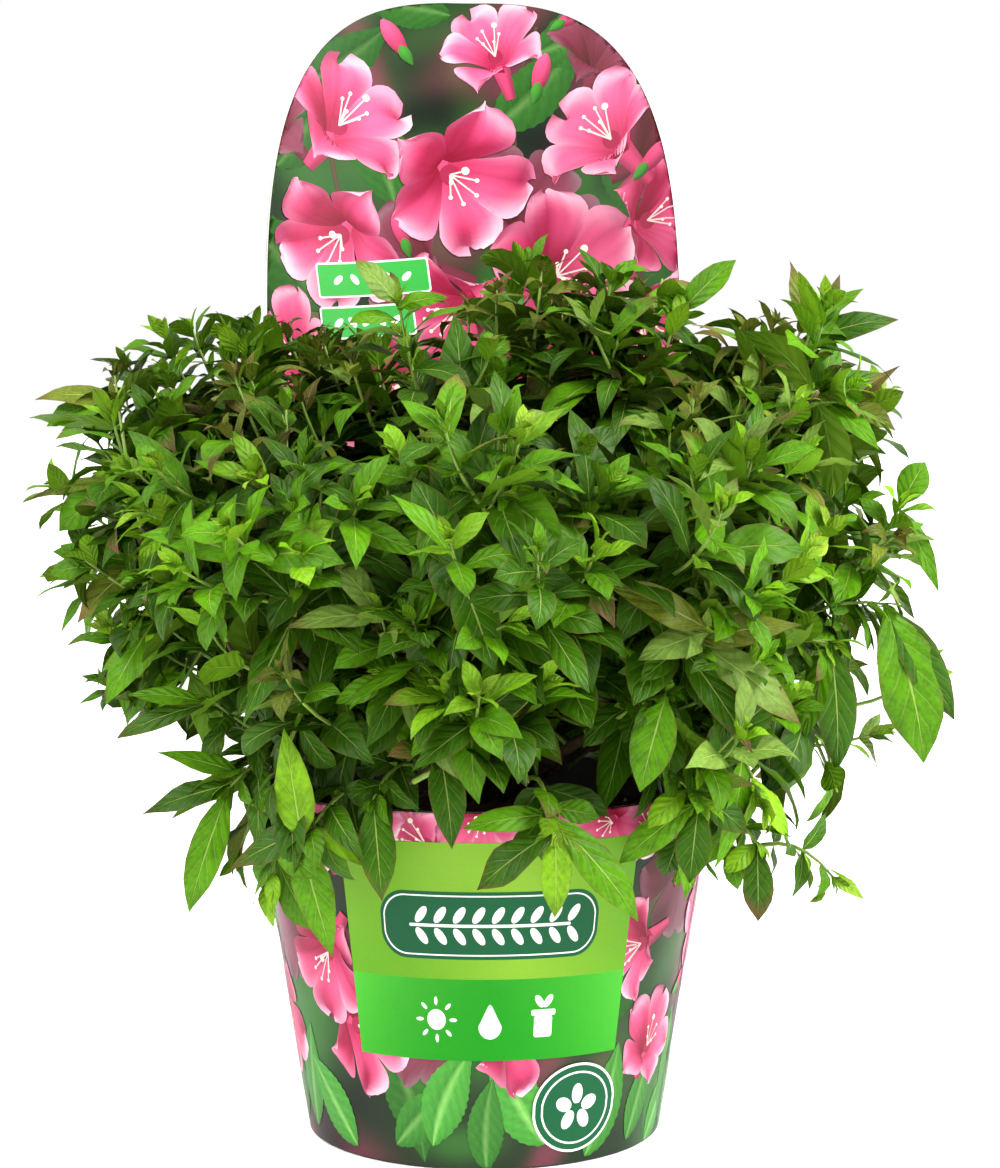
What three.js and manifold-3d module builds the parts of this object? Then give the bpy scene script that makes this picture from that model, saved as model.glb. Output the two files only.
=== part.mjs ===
// A young dwarf weigela in its nursery pot: a broad, low, leafy shrub on many
// thin arching stems, growing from a stool in a conical three-litre container.
// A printed wrap covers the pot and rises behind the plant as a tall arched
// back panel.  Millimetres, +Z up.  The origin is the centre of the flat
// underside of the pot, the panel stands on the +Y side and the label on the
// wrap faces -Y.
import * as THREE from "three";
import { mergeVertices } from "three/addons/utils/BufferGeometryUtils.js";
import Module from "manifold-3d";

const wasm = await Module();
wasm.setup();

// ---- Driving dimensions ----------------------------------------------------
const TOUCH_GAP = 0.3; // clearance between two pieces that bear on each other
const ROUND_SEGMENTS = 40; // of the pot and the wrap round it

// The wrap is one cone: its outer radius grows steadily from the foot upwards.
const WRAP_FOOT_RADIUS = 72.6;
const WRAP_RIM_RADIUS = 95.3;
const WRAP_RIM_HEIGHT = 145;
const WRAP_FOOT_HEIGHT = 1; // the lower edge clears the floor
const WRAP_THICKNESS = 0.8;

// The arched back panel, measured up the slope of the wrap from its rim.
const PANEL_FOOT_HALF_WIDTH = 108;
const PANEL_FILLET = 12; // radius where the panel's sides run into the rim
const PANEL_HALF_WIDTH = 103; // at the shoulder
const PANEL_SHOULDER = 165; // where the straight sides turn into the arch
const PANEL_RISE = 344;
const PANEL_ARCH_POWER = 2.7; // 2 is an ellipse, more is squarer
const PANEL_ARCH_STEPS = 24;
const PANEL_FILLET_STEPS = 4;
const PANEL_EDGE_DEPTH = 36; // the side edges stand this far behind the axis at the rim
const PANEL_EDGE_LEAN = 0.24; // and this much further back for each unit of height

const POT_HEIGHT = 143;
const POT_WALL = 1.6;
const POT_FLOOR = 2.5;
const POT_WAIST_INSET = 2.2; // the wall stands back from the wrap between foot and lip
const POT_FOOT_BAND = 6;
const POT_LIP_BAND = 12;
const POT_STEP = 3; // height of the slopes between bands and waist
const DRAIN_HOLES = 6;
const DRAIN_RADIUS = 4.5;
const DRAIN_RING_RADIUS = 50;
const DRAIN_SEGMENTS = 10;

const SOIL_TOP = 128; // 15 mm below the rim of the pot
const SOIL_RELIEF = 1.6;
const SOIL_RINGS = 4;
const SOIL_SEGMENTS = ROUND_SEGMENTS / 2;

const STOOL_FLARE_RADIUS = 14; // at the soil
const STOOL_RADIUS = 10;
const STOOL_HEIGHT = 34;
const STOOL_LEAN = 3; // sideways drift of its top
const STOOL_APRON = 4; // level soil round the flare
const STOOL_SEGMENTS = 14;
const BOUGH_FOOT_RADIUS = 2.9;
const BOUGH_TIP_RADIUS = 1.7;
const BOUGH_SIDES = 6;
const BOUGH_STEPS = 4;

// Boughs spring in three whorls; the lowest whorl arches outwards the most.
// below: depth of the foot under the stool's top; reach: from the stool's axis;
// outward: how far out the bend lies, as a share of the lobe's reach.
const WHORLS = {
  top: { below: 4, reach: 3.5, outward: 0.18 },
  upper: { below: 14, reach: 7.2, outward: 0.36 },
  lower: { below: 24, reach: 9.5, outward: 0.52 },
};
const BEND_HEIGHT = 0.62; // height of the bend, as a share of the bough's rise

const LOBE_DETAIL = 2; // subdivision of the icosahedron under each leaf mass
const SPRAY_DETAIL = 1; // and under each small hanging spray
const LOBE_RELIEF = 0.08; // depth of the lumps, as a share of the radius
const PANEL_CLEARANCE = 1.2; // from leaves to the panel

// The lobes of the crown: azimuth and reach of the middle from the pot's axis,
// its height, and the half-sizes [along the ring, outwards, upwards].  A lobe
// is cut back by the lobes that stand before it in this list.  The lobes of the
// tiers named in WHORLS are each carried by a bough.
const LOBES = [
  { name: "top_middle", azimuth: 70, reach: 40, z: 318, size: [58, 60, 48] },
  { name: "top_left", azimuth: -82, reach: 84, z: 291, size: [56, 58, 46] },
  { name: "top_right", azimuth: 84, reach: 118, z: 303, size: [56, 54, 51] },
  { name: "top_front", azimuth: -34, reach: 52, z: 286, size: [44, 40, 40] },
  { name: "top_back", azimuth: 180, reach: 58, z: 284, size: [74, 46, 52] },
  { name: "upper_left", azimuth: -86, reach: 134, z: 268, size: [62, 50, 50] },
  { name: "upper_front_left", azimuth: -46, reach: 122, z: 254, size: [56, 50, 54] },
  { name: "upper_front", azimuth: 0, reach: 114, z: 254, size: [56, 50, 56] },
  { name: "upper_front_right", azimuth: 46, reach: 122, z: 254, size: [56, 50, 56] },
  { name: "upper_right", azimuth: 86, reach: 136, z: 244, size: [58, 52, 54] },
  { name: "upper_back_right", azimuth: 112, reach: 132, z: 250, size: [46, 48, 56] },
  { name: "upper_back_left", azimuth: -112, reach: 130, z: 250, size: [46, 48, 56] },
  { name: "lower_left", azimuth: -86, reach: 112, z: 204, size: [60, 50, 46] },
  { name: "lower_front_left", azimuth: -44, reach: 114, z: 194, size: [54, 44, 44] },
  { name: "lower_front", azimuth: -2, reach: 110, z: 192, size: [52, 42, 42] },
  { name: "lower_front_right", azimuth: 40, reach: 116, z: 192, size: [54, 46, 44] },
  { name: "lower_right", azimuth: 88, reach: 120, z: 194, size: [62, 50, 46] },
  { name: "edge_right", azimuth: 84, reach: 166, z: 206, size: [34, 24, 50] },
  { name: "hanging_left", azimuth: -66, reach: 128, z: 143, size: [32, 24, 46] },
  { name: "hanging_front_left", azimuth: -34, reach: 122, z: 132, size: [30, 18, 42] },
  { name: "hanging_front", azimuth: 12, reach: 121, z: 140, size: [36, 17, 30] },
  { name: "hanging_front_right", azimuth: 46, reach: 126, z: 142, size: [32, 20, 34] },
  { name: "hanging_right", azimuth: 70, reach: 131, z: 132, size: [32, 25, 44] },
];

// ---- Helpers ---------------------------------------------------------------
const degrees = (angle) => (angle * Math.PI) / 180;
const WRAP_SLOPE = (WRAP_RIM_RADIUS - WRAP_FOOT_RADIUS) / WRAP_RIM_HEIGHT;
const WRAP_ANGLE = Math.atan(WRAP_SLOPE);
const RIM_RAY = WRAP_RIM_RADIUS / Math.sin(WRAP_ANGLE); // from the apex of the cone to the rim
const HEADROOM = WRAP_RIM_HEIGHT + PANEL_RISE; // just over the top of the panel
const wrapRadius = (z) => WRAP_FOOT_RADIUS + WRAP_SLOPE * z;
const wrapInnerRadius = (z) => wrapRadius(z) - WRAP_THICKNESS;

// A closed geometry with its shared vertices merged, as a manifold solid.
function solidOf(geometry) {
  const bare = geometry.clone();
  bare.deleteAttribute("normal");
  bare.deleteAttribute("uv");
  const merged = mergeVertices(bare, 1e-3);
  return new wasm.Manifold(
    new wasm.Mesh({
      numProp: 3,
      vertProperties: new Float32Array(merged.attributes.position.array),
      triVerts: new Uint32Array(merged.index.array),
    }),
  );
}

function geometryOf(solid) {
  const { vertProperties, triVerts } = solid.getMesh();
  const geometry = new THREE.BufferGeometry();
  geometry.setAttribute("position", new THREE.BufferAttribute(vertProperties, 3));
  geometry.setIndex(new THREE.BufferAttribute(triVerts, 1));
  geometry.computeVertexNormals();
  return geometry;
}

const union = (solids) => solids.reduce((a, b) => a.add(b));

const largestBody = (solid) =>
  solid.decompose().reduce((a, b) => (a.volume() > b.volume() ? a : b));

// Moves every vertex of a geometry by a function of its place.
function warp(geometry, move) {
  const place = geometry.attributes.position;
  const point = new THREE.Vector3();
  for (let i = 0; i < place.count; i++) {
    point.fromBufferAttribute(place, i);
    move(point);
    place.setXYZ(i, point.x, point.y, point.z);
  }
  return geometry;
}

// A solid of revolution about +Z from [radius, height] pairs.
function turned(profile, segments) {
  const points = profile.map(([r, z]) => new THREE.Vector2(r, z));
  return new THREE.LatheGeometry(points, segments).rotateX(Math.PI / 2);
}

// A cone wall between two heights, its radii given by two functions of z.
function coneShell(inner, outer, foot, top) {
  const corners = [[inner(foot), foot], [outer(foot), foot], [outer(top), top], [inner(top), top]];
  return solidOf(turned([...corners, corners[0]], ROUND_SEGMENTS));
}

// Azimuth 0 is the front (-Y) and 90 is the right-hand side (+X).
function around(azimuth, reach, z) {
  const angle = degrees(azimuth);
  return new THREE.Vector3(reach * Math.sin(angle), -reach * Math.cos(angle), z);
}

// ---- Pot, root ball and wrap -----------------------------------------------
function drainHole(index) {
  const at = around(((index + 0.5) * 360) / DRAIN_HOLES, DRAIN_RING_RADIUS, POT_FLOOR / 2);
  const drill = new THREE.CylinderGeometry(DRAIN_RADIUS, DRAIN_RADIUS, 3 * POT_FLOOR, DRAIN_SEGMENTS);
  return solidOf(drill.rotateX(Math.PI / 2).translate(at.x, at.y, at.z));
}

function potSolid() {
  const bearing = (z) => wrapInnerRadius(z) - TOUCH_GAP;
  const waist = (z) => bearing(z) - POT_WAIST_INSET;
  const waistFoot = POT_FOOT_BAND + POT_STEP;
  const lipFoot = POT_HEIGHT - POT_LIP_BAND;
  const waistTop = lipFoot - POT_STEP;
  const profile = [
    [0, 0],
    [bearing(0), 0],
    [bearing(POT_FOOT_BAND), POT_FOOT_BAND],
    [waist(waistFoot), waistFoot],
    [waist(waistTop), waistTop],
    [bearing(lipFoot), lipFoot],
    [bearing(POT_HEIGHT), POT_HEIGHT],
    [waist(POT_HEIGHT) - POT_WALL, POT_HEIGHT],
    [waist(POT_FLOOR) - POT_WALL, POT_FLOOR],
    [0, POT_FLOOR],
  ];
  const holes = Array.from({ length: DRAIN_HOLES }, (_, i) => drainHole(i));
  return solidOf(turned(profile, ROUND_SEGMENTS)).subtract(union(holes));
}

// The compost fills the pot and is level only round the foot of the stool.
function soilSolid() {
  const wall = (z) => wrapInnerRadius(z) - 2 * TOUCH_GAP - POT_WAIST_INSET - POT_WALL;
  const foot = POT_FLOOR + TOUCH_GAP;
  const apron = STOOL_FLARE_RADIUS + STOOL_APRON;
  const rings = Array.from({ length: SOIL_RINGS }, (_, i) => [
    THREE.MathUtils.lerp(wall(SOIL_TOP), apron, (i + 1) / SOIL_RINGS),
    SOIL_TOP,
  ]);
  const profile = [[0, foot], [wall(foot), foot], [wall(SOIL_TOP), SOIL_TOP], ...rings, [0, SOIL_TOP]];
  return solidOf(
    warp(turned(profile, SOIL_SEGMENTS), (p) => {
      const reach = Math.hypot(p.x, p.y);
      const uneven = p.z > SOIL_TOP - 1 && reach > apron + 1 && reach < wall(SOIL_TOP) - 1;
      if (uneven) p.z += SOIL_RELIEF * Math.sin(0.21 * p.x) * Math.cos(0.17 * p.y + 0.05 * p.x);
    }),
  );
}

// Where a point of the flat, unrolled wrap stands on the cone behind the plant,
// as [x, z]; the point is given across to the right and up the slope from the
// middle of the rim.
function onWrap([across, up]) {
  const ray = Math.hypot(across, RIM_RAY + up);
  const turn = Math.atan2(across, RIM_RAY + up) / Math.sin(WRAP_ANGLE);
  const radius = ray * Math.sin(WRAP_ANGLE);
  return new THREE.Vector2(radius * Math.sin(turn), (radius - WRAP_FOOT_RADIUS) / WRAP_SLOPE);
}

// The right half of the flat panel's outline, from the rim up to the crest.  The
// rim of the unrolled wrap is an arc, so it drops away to each side.
function panelHalfOutline() {
  const quarter = (steps) => Array.from({ length: steps + 1 }, (_, i) => degrees((90 * i) / steps));
  const rimAt = (across) => Math.sqrt(RIM_RAY ** 2 - across ** 2) - RIM_RAY;
  const fillet = quarter(PANEL_FILLET_STEPS).map((angle) => {
    const across = PANEL_FOOT_HALF_WIDTH + PANEL_FILLET * (1 - Math.sin(angle));
    return [across, rimAt(across) + PANEL_FILLET * (1 - Math.cos(angle))];
  });
  const arch = quarter(PANEL_ARCH_STEPS).map((angle) => [
    PANEL_HALF_WIDTH * Math.cos(angle) ** (2 / PANEL_ARCH_POWER),
    PANEL_SHOULDER + (PANEL_RISE - PANEL_SHOULDER) * Math.sin(angle) ** (2 / PANEL_ARCH_POWER),
  ]);
  return [...fillet, ...arch];
}

// The band round the pot and the panel are one piece of card.
function wrapSolid() {
  const shell = coneShell(wrapInnerRadius, wrapRadius, WRAP_FOOT_HEIGHT, HEADROOM);
  const right = panelHalfOutline().map(onWrap);
  const left = right.slice(0, -1).reverse().map((p) => new THREE.Vector2(-p.x, p.y));
  const foot = [new THREE.Vector2(-right[0].x, 0), new THREE.Vector2(right[0].x, 0)];
  const depth = 2 * WRAP_RIM_RADIUS;
  const panel = new THREE.ExtrudeGeometry(new THREE.Shape([...foot, ...right, ...left]), {
    depth,
    bevelEnabled: false,
  });
  const band = new THREE.BoxGeometry(2 * depth, 2 * depth, 2 * WRAP_RIM_HEIGHT);
  const kept = solidOf(band).add(solidOf(panel.rotateX(Math.PI / 2).translate(0, depth, 0)));
  return shell.intersect(kept);
}

// The space that leaves keep out of: the panel and all that is behind the plane
// through its two side edges.
function behindPanel() {
  const inner = (z) => wrapInnerRadius(z) - PANEL_CLEARANCE;
  const shell = coneShell(inner, (z) => wrapRadius(z) + WRAP_RIM_HEIGHT, 0, HEADROOM);
  const side = 2 * HEADROOM;
  const rear = new THREE.BoxGeometry(side, side, side)
    .translate(0, side / 2, 0)
    .rotateX(-Math.atan(PANEL_EDGE_LEAN))
    .translate(0, PANEL_EDGE_DEPTH, WRAP_RIM_HEIGHT);
  return shell.intersect(solidOf(rear));
}

// ---- Stool and boughs ------------------------------------------------------
const stoolFoot = SOIL_TOP + TOUCH_GAP;
const stoolTop = stoolFoot + STOOL_HEIGHT;

// grow thickens the stool all round, to cut its neighbours clear of it.
function stoolSolid(grow = 0) {
  const profile = [
    [0, stoolFoot - grow],
    [STOOL_FLARE_RADIUS + grow, stoolFoot - grow],
    [1.12 * STOOL_RADIUS + grow, stoolFoot + 0.2 * STOOL_HEIGHT],
    [STOOL_RADIUS + grow, stoolFoot + 0.48 * STOOL_HEIGHT],
    [0.86 * STOOL_RADIUS + grow, stoolFoot + 0.76 * STOOL_HEIGHT],
    [0.5 * STOOL_RADIUS + grow, stoolFoot + 0.96 * STOOL_HEIGHT + grow],
    [0, stoolTop + grow],
  ];
  return solidOf(
    warp(turned(profile, STOOL_SEGMENTS), (p) => {
      const climb = (p.z - stoolFoot) / STOOL_HEIGHT;
      const knobs = 1 + 0.1 * Math.sin(3 * Math.atan2(p.y, p.x) + 4 * climb);
      p.x = p.x * knobs + STOOL_LEAN * climb;
      p.y *= knobs;
    }),
  );
}

// A tapering limb: a cylinder bent onto the frames of a curve.
function limbSolid(curve, grow = 0) {
  const frames = curve.computeFrenetFrames(BOUGH_STEPS, false);
  const straight = new THREE.CylinderGeometry(1, 1, 1, BOUGH_SIDES, BOUGH_STEPS);
  const bent = warp(straight, (p) => {
    const share = p.y + 0.5;
    const step = Math.round(share * BOUGH_STEPS);
    const radius = THREE.MathUtils.lerp(BOUGH_FOOT_RADIUS, BOUGH_TIP_RADIUS, share) + grow;
    const across = frames.normals[step].clone().multiplyScalar(p.z * radius);
    const beside = frames.binormals[step].clone().multiplyScalar(p.x * radius);
    p.copy(curve.getPointAt(share)).add(across).add(beside);
  });
  return solidOf(bent);
}

// The run of the bough that carries a lobe, from the stool to the lobe's middle.
function boughCurve(lobe) {
  const whorl = WHORLS[lobe.name.split("_")[0]];
  const goal = around(lobe.azimuth, lobe.reach, lobe.z);
  const foot = around(lobe.azimuth, whorl.reach, stoolTop - whorl.below);
  foot.x += (STOOL_LEAN * (foot.z - stoolFoot)) / STOOL_HEIGHT;
  const bendHeight = THREE.MathUtils.lerp(foot.z, goal.z, BEND_HEIGHT);
  const bend = around(lobe.azimuth, lobe.reach * whorl.outward, bendHeight);
  return new THREE.QuadraticBezierCurve3(foot, bend, goal);
}

// ---- Leaf masses -----------------------------------------------------------
// An uneven ball of foliage; index varies the lumps from lobe to lobe.
function lobeSolid(lobe, index, grow = 0) {
  const [along, out, tall] = lobe.size.map((half) => half + grow);
  const lump = (p) =>
    Math.sin(2.6 * p.x + 1.7 * index) * Math.cos(2.3 * p.y - 0.9 * index) +
    0.7 * Math.sin(3.9 * p.z + 2.3 * index + 1.6 * p.x) +
    0.4 * Math.cos(5.6 * p.y + 4.8 * p.x + index);
  const middle = around(lobe.azimuth, lobe.reach, lobe.z);
  const detail = lobe.name.startsWith("hanging") ? SPRAY_DETAIL : LOBE_DETAIL;
  const ball = new THREE.IcosahedronGeometry(1, detail);
  const shaped = warp(ball, (p) => p.multiplyScalar(1 + LOBE_RELIEF * lump(p)))
    .scale(along, out, tall)
    .rotateZ(degrees(lobe.azimuth))
    .translate(middle.x, middle.y, middle.z);
  return solidOf(shaped);
}

// ---- Assembly --------------------------------------------------------------
const plastic = new THREE.MeshStandardMaterial({ color: 0x141414, roughness: 0.5, metalness: 0 });
const card = new THREE.MeshStandardMaterial({ color: 0x5f9a4a, roughness: 0.35, metalness: 0 });
const compost = new THREE.MeshStandardMaterial({ color: 0x2a1c13, roughness: 0.95, metalness: 0 });
const bark = new THREE.MeshStandardMaterial({ color: 0x5a4331, roughness: 0.85, metalness: 0 });
const leafage = new THREE.MeshStandardMaterial({ color: 0x3f7a1e, roughness: 0.55, metalness: 0 });

const plant = new THREE.Group();

function addPiece(name, solid, finish) {
  const piece = new THREE.Mesh(geometryOf(solid), finish);
  piece.name = name;
  plant.add(piece);
}

addPiece("pot", potSolid(), plastic);
addPiece("root_ball", soilSolid(), compost);
addPiece("printed_wrap", wrapSolid(), card);
addPiece("main_stem", stoolSolid(), bark);

const panelSpace = behindPanel();
const clearances = LOBES.map((lobe, i) => lobeSolid(lobe, i, TOUCH_GAP));
LOBES.forEach((lobe, i) => {
  const before = clearances.slice(0, i);
  const mass = lobeSolid(lobe, i).subtract(union([panelSpace, ...before]));
  addPiece(`leaves_${lobe.name}`, largestBody(mass), leafage);
});

// A bough ends where it enters the foliage, clear of the boughs made before it.
let taken = union([stoolSolid(TOUCH_GAP), ...clearances]);
for (const lobe of LOBES.filter(({ name }) => name.split("_")[0] in WHORLS)) {
  const curve = boughCurve(lobe);
  addPiece(`bough_${lobe.name}`, largestBody(limbSolid(curve).subtract(taken)), bark);
  taken = taken.add(limbSolid(curve, TOUCH_GAP));
}

export default plant;
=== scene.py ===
"""A young weigela shrub in its nursery pot, with a printed wrap and back panel.

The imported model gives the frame: the pot, the compost, the wrap, the stool, the
boughs and the masses of foliage.  The operators below finish them and set the
stage.  Shapes are worked out in millimetres and written in metres; the settings,
the crumbs, the lights and the camera are in metres.
"""

import math

import bpy
import numpy as np
from bpy.props import FloatProperty, FloatVectorProperty, IntProperty, PointerProperty
from mathutils import Matrix, Vector, noise
from mathutils.bvhtree import BVHTree


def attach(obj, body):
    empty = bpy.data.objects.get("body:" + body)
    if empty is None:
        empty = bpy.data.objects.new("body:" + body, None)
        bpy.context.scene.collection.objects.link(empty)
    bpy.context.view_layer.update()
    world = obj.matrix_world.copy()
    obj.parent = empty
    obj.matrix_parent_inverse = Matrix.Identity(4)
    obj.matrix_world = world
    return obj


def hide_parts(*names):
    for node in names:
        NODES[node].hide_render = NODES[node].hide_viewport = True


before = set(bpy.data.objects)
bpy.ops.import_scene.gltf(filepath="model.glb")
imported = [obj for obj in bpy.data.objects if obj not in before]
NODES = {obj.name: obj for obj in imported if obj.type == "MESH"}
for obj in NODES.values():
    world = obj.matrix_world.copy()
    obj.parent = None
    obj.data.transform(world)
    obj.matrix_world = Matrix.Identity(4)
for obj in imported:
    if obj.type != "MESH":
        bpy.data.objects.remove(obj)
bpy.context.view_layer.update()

bl_info = {
    "name": "Potted Weigela",
    "version": (1, 0, 0),
    "blender": (4, 5, 0),
    "location": "View3D > Sidebar > Weigela",
    "description": "A young weigela shrub in a nursery pot with a printed wrap",
    "category": "Object",
}

MM = 0.001
MASSES = sorted(name for name in NODES if name.startswith("leaves_"))

# The wrap is one cone that carries a tall arched panel behind the plant.
WRAP_FOOT_RADIUS = 72.6
WRAP_RIM_RADIUS = 95.3
WRAP_RIM = 145.0
WRAP_FOOT = 1.0
CARD = 0.8
WRAP_SLOPE = (WRAP_RIM_RADIUS - WRAP_FOOT_RADIUS) / WRAP_RIM
CONE_SINE = math.sin(math.atan(WRAP_SLOPE))
RIM_RAY = WRAP_RIM_RADIUS / CONE_SINE
PANEL_FOOT_HALF_WIDTH = 108.0
PANEL_FILLET = 12.0
PANEL_HALF_WIDTH = 103.0
PANEL_SHOULDER = 165.0
PANEL_RISE = 344.0
PANEL_POWER = 2.7
# Half the panel's foot as a turn round the rim, the way along the rim from the
# front to where it begins, and how far the join's plain ground reaches.
PANEL_FOOT_TURN = math.atan2(PANEL_FOOT_HALF_WIDTH + PANEL_FILLET, RIM_RAY) / CONE_SINE
PANEL_FOOT_ALONG = (math.pi - PANEL_FOOT_TURN) * WRAP_RIM_RADIUS
JOIN_FADE = 22.0

# The stool and the boughs that spring from it in three whorls.
STOOL_FOOT = 128.3
STOOL_HEIGHT = 34.0
STOOL_LEAN = 3.0
STOOL_PROFILE = ((14.0, 0.0), (12.4, 0.08), (11.2, 0.2), (10.0, 0.48), (8.6, 0.76), (5.0, 0.96))
WHORLS = {"top": (4.0, 3.5, 0.18), "upper": (14.0, 7.2, 0.36), "lower": (24.0, 9.5, 0.52)}
BEND_HEIGHT = 0.62
BOUGH_FOOT_RADIUS = 2.9
BOUGH_TIP_RADIUS = 1.7
BOUGHS = {  # azimuth in degrees from the front, reach and height of the limb's end
    "top_middle": (70, 40, 318),
    "top_left": (-82, 84, 291),
    "top_right": (84, 118, 303),
    "top_front": (-34, 52, 286),
    "top_back": (180, 58, 284),
    "upper_left": (-86, 134, 268),
    "upper_front_left": (-46, 122, 254),
    "upper_front": (0, 114, 254),
    "upper_front_right": (46, 122, 254),
    "upper_right": (86, 136, 244),
    "upper_back_right": (112, 132, 250),
    "upper_back_left": (-112, 130, 250),
    "lower_left": (-86, 112, 204),
    "lower_front_left": (-44, 114, 194),
    "lower_front": (-2, 110, 192),
    "lower_front_right": (40, 116, 192),
    "lower_right": (88, 120, 194),
}


# ---- Small helpers ---------------------------------------------------------
def tone(red, green, blue):
    """A colour given as 0 to 255 on screen, in linear light."""
    linear = []
    for part in (red, green, blue):
        share = part / 255
        linear.append(share / 12.92 if share <= 0.04045 else ((share + 0.055) / 1.055) ** 2.4)
    return tuple(linear)


def smoothstep(low, high, value):
    share = np.clip((value - low) / (high - low), 0, 1)
    return share * share * (3 - 2 * share)


def blend(first, second, share):
    """Mixes two colours or points by a share, or by one share for each point."""
    share = np.asarray(share, float)[..., None]
    return np.asarray(first) * (1 - share) + np.asarray(second) * share


def unit(vectors):
    vectors = np.asarray(vectors, float)
    return vectors / np.maximum(np.linalg.norm(vectors, axis=-1, keepdims=True), 1e-9)


def around(azimuth, reach, z):
    angle = math.radians(azimuth)
    return np.array([reach * math.sin(angle), -reach * math.cos(angle), z])


def wrap_radius(z):
    return WRAP_FOOT_RADIUS + WRAP_SLOPE * z


def on_panel(across, up, offset):
    """Where a point of the unrolled panel stands, moved off the card's outer face."""
    ray = np.hypot(across, RIM_RAY + up)
    turn = np.arctan2(across, RIM_RAY + up) / CONE_SINE
    radius = ray * CONE_SINE
    height = (radius - WRAP_FOOT_RADIUS) / WRAP_SLOPE
    return np.stack([(radius + offset) * np.sin(turn), (radius + offset) * np.cos(turn), height], -1)


def on_band(angle, z, offset):
    """Where a point of the band round the pot stands; the angle is from the front."""
    angle, z = np.broadcast_arrays(angle, z)
    radius = wrap_radius(z) + offset
    return np.stack([radius * np.sin(angle), -radius * np.cos(angle), z], -1)


def sheet_quads(rows, columns, joined=False):
    """Four-sided faces of points stored row by row; joined closes the columns round."""
    row = np.arange(rows - 1)[:, None]
    column = np.arange(columns if joined else columns - 1)[None, :]
    beside = (column + 1) % columns
    near, far = row * columns, (row + 1) * columns
    return np.stack([near + column, near + beside, far + beside, far + column], -1).reshape(-1, 4)


def sheet_faces(rows, columns, joined=False):
    """The same faces, each split into two triangles."""
    quads = sheet_quads(rows, columns, joined)
    return np.stack([quads[:, [0, 1, 2]], quads[:, [0, 2, 3]]], 1).reshape(-1, 3)


def merge(parts):
    """Joins parts, each given as its points and its triangles."""
    start = 0
    points, faces = [], []
    for places, triangles in parts:
        points.append(places)
        faces.append(triangles + start)
        start += len(places)
    return np.concatenate(points), np.concatenate(faces)


def new_object(name, data):
    """Adds an object to the scene."""
    made = bpy.data.objects.new(name, data)
    bpy.context.scene.collection.objects.link(made)
    return made


def write_piece(name, points, faces, finish, slot, replaces=(), uvs=None, tints=None, values=None):
    """Writes points (mm) and their faces, all with as many corners, as a smooth mesh piece.

    values gives named numbers for each point, which the finish reads.
    """
    mesh = bpy.data.meshes.new(name)
    faces = np.ascontiguousarray(faces, dtype=np.int32)
    mesh.vertices.add(len(points))
    mesh.vertices.foreach_set("co", (np.asarray(points) * MM).astype(np.float32).ravel())
    mesh.loops.add(faces.size)
    mesh.loops.foreach_set("vertex_index", faces.ravel())
    mesh.polygons.add(len(faces))
    mesh.polygons.foreach_set("loop_start", np.arange(0, faces.size, faces.shape[1], dtype=np.int32))
    mesh.polygons.foreach_set("use_smooth", np.ones(len(faces), dtype=bool))
    mesh.materials.append(finish)
    if uvs is not None:
        layer = mesh.uv_layers.new(name="UVMap")
        layer.uv.foreach_set("vector", np.asarray(uvs)[faces.ravel()].astype(np.float32).ravel())
    if tints is not None:
        layer = mesh.color_attributes.new("tint", "FLOAT_COLOR", "POINT")
        rgba = np.concatenate([np.asarray(tints), np.ones((len(points), 1))], 1)
        layer.data.foreach_set("color", rgba.astype(np.float32).ravel())
    for label, numbers in (values or {}).items():
        layer = mesh.attributes.new(label, "FLOAT", "POINT")
        layer.data.foreach_set("value", np.asarray(numbers, dtype=np.float32))
    mesh.update(calc_edges=True)
    mesh.validate()
    piece = new_object(name, mesh)
    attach(piece, "root")
    if replaces:
        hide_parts(*replaces)


# ---- Finishes --------------------------------------------------------------
def node(tree, kind, feeds=None, **settings):
    """Adds a shader or geometry node; feeds gives each input a value or a link."""
    made = tree.nodes.new(kind)
    for key, value in settings.items():
        setattr(made, key, value)
    for key, value in (feeds or {}).items():
        if isinstance(value, bpy.types.NodeSocket):
            tree.links.new(value, made.inputs[key])
        else:
            made.inputs[key].default_value = value
    return made


def maths(tree, operation, first, second=0.0, third=0.0):
    made = node(tree, "ShaderNodeMath", {0: first, 1: second, 2: third}, operation=operation)
    return made.outputs[0]


def mix_colour(tree, share, first, second, way="MIX"):
    made = tree.nodes.new("ShaderNodeMix")
    made.data_type = "RGBA"
    made.blend_type = way
    for key, value in (("Factor_Float", share), ("A_Color", first), ("B_Color", second)):
        socket = next(s for s in made.inputs if s.identifier == key)
        if isinstance(value, bpy.types.NodeSocket):
            tree.links.new(value, socket)
        else:
            socket.default_value = (*value, 1.0) if key.endswith("Color") else value
    return next(s for s in made.outputs if s.identifier == "Result_Color")


def ranged(tree, value, low, high, to_low=0.0, to_high=1.0):
    """Carries a value from one range over to another and holds it there."""
    ends = {"From Min": low, "From Max": high, "To Min": to_low, "To Max": to_high}
    return node(tree, "ShaderNodeMapRange", {"Value": value, **ends}).outputs[0]


def shaded(tree, colour, level):
    """Multiplies a colour by one number."""
    grey = node(tree, "ShaderNodeCombineXYZ", {0: level, 1: level, 2: level}).outputs[0]
    return mix_colour(tree, 1.0, colour, grey, way="MULTIPLY")


def group(name, inputs, outputs):
    """A shader group with named float inputs and outputs; gives its tree and ends."""
    tree = bpy.data.node_groups.new(name, "ShaderNodeTree")
    for label, default in inputs.items():
        socket = tree.interface.new_socket(label, in_out="INPUT", socket_type="NodeSocketFloat")
        socket.default_value = default
    for label in outputs:
        tree.interface.new_socket(label, in_out="OUTPUT", socket_type="NodeSocketFloat")
    start = tree.nodes.new("NodeGroupInput")
    end = tree.nodes.new("NodeGroupOutput")
    return tree, start.outputs, end.inputs


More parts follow.
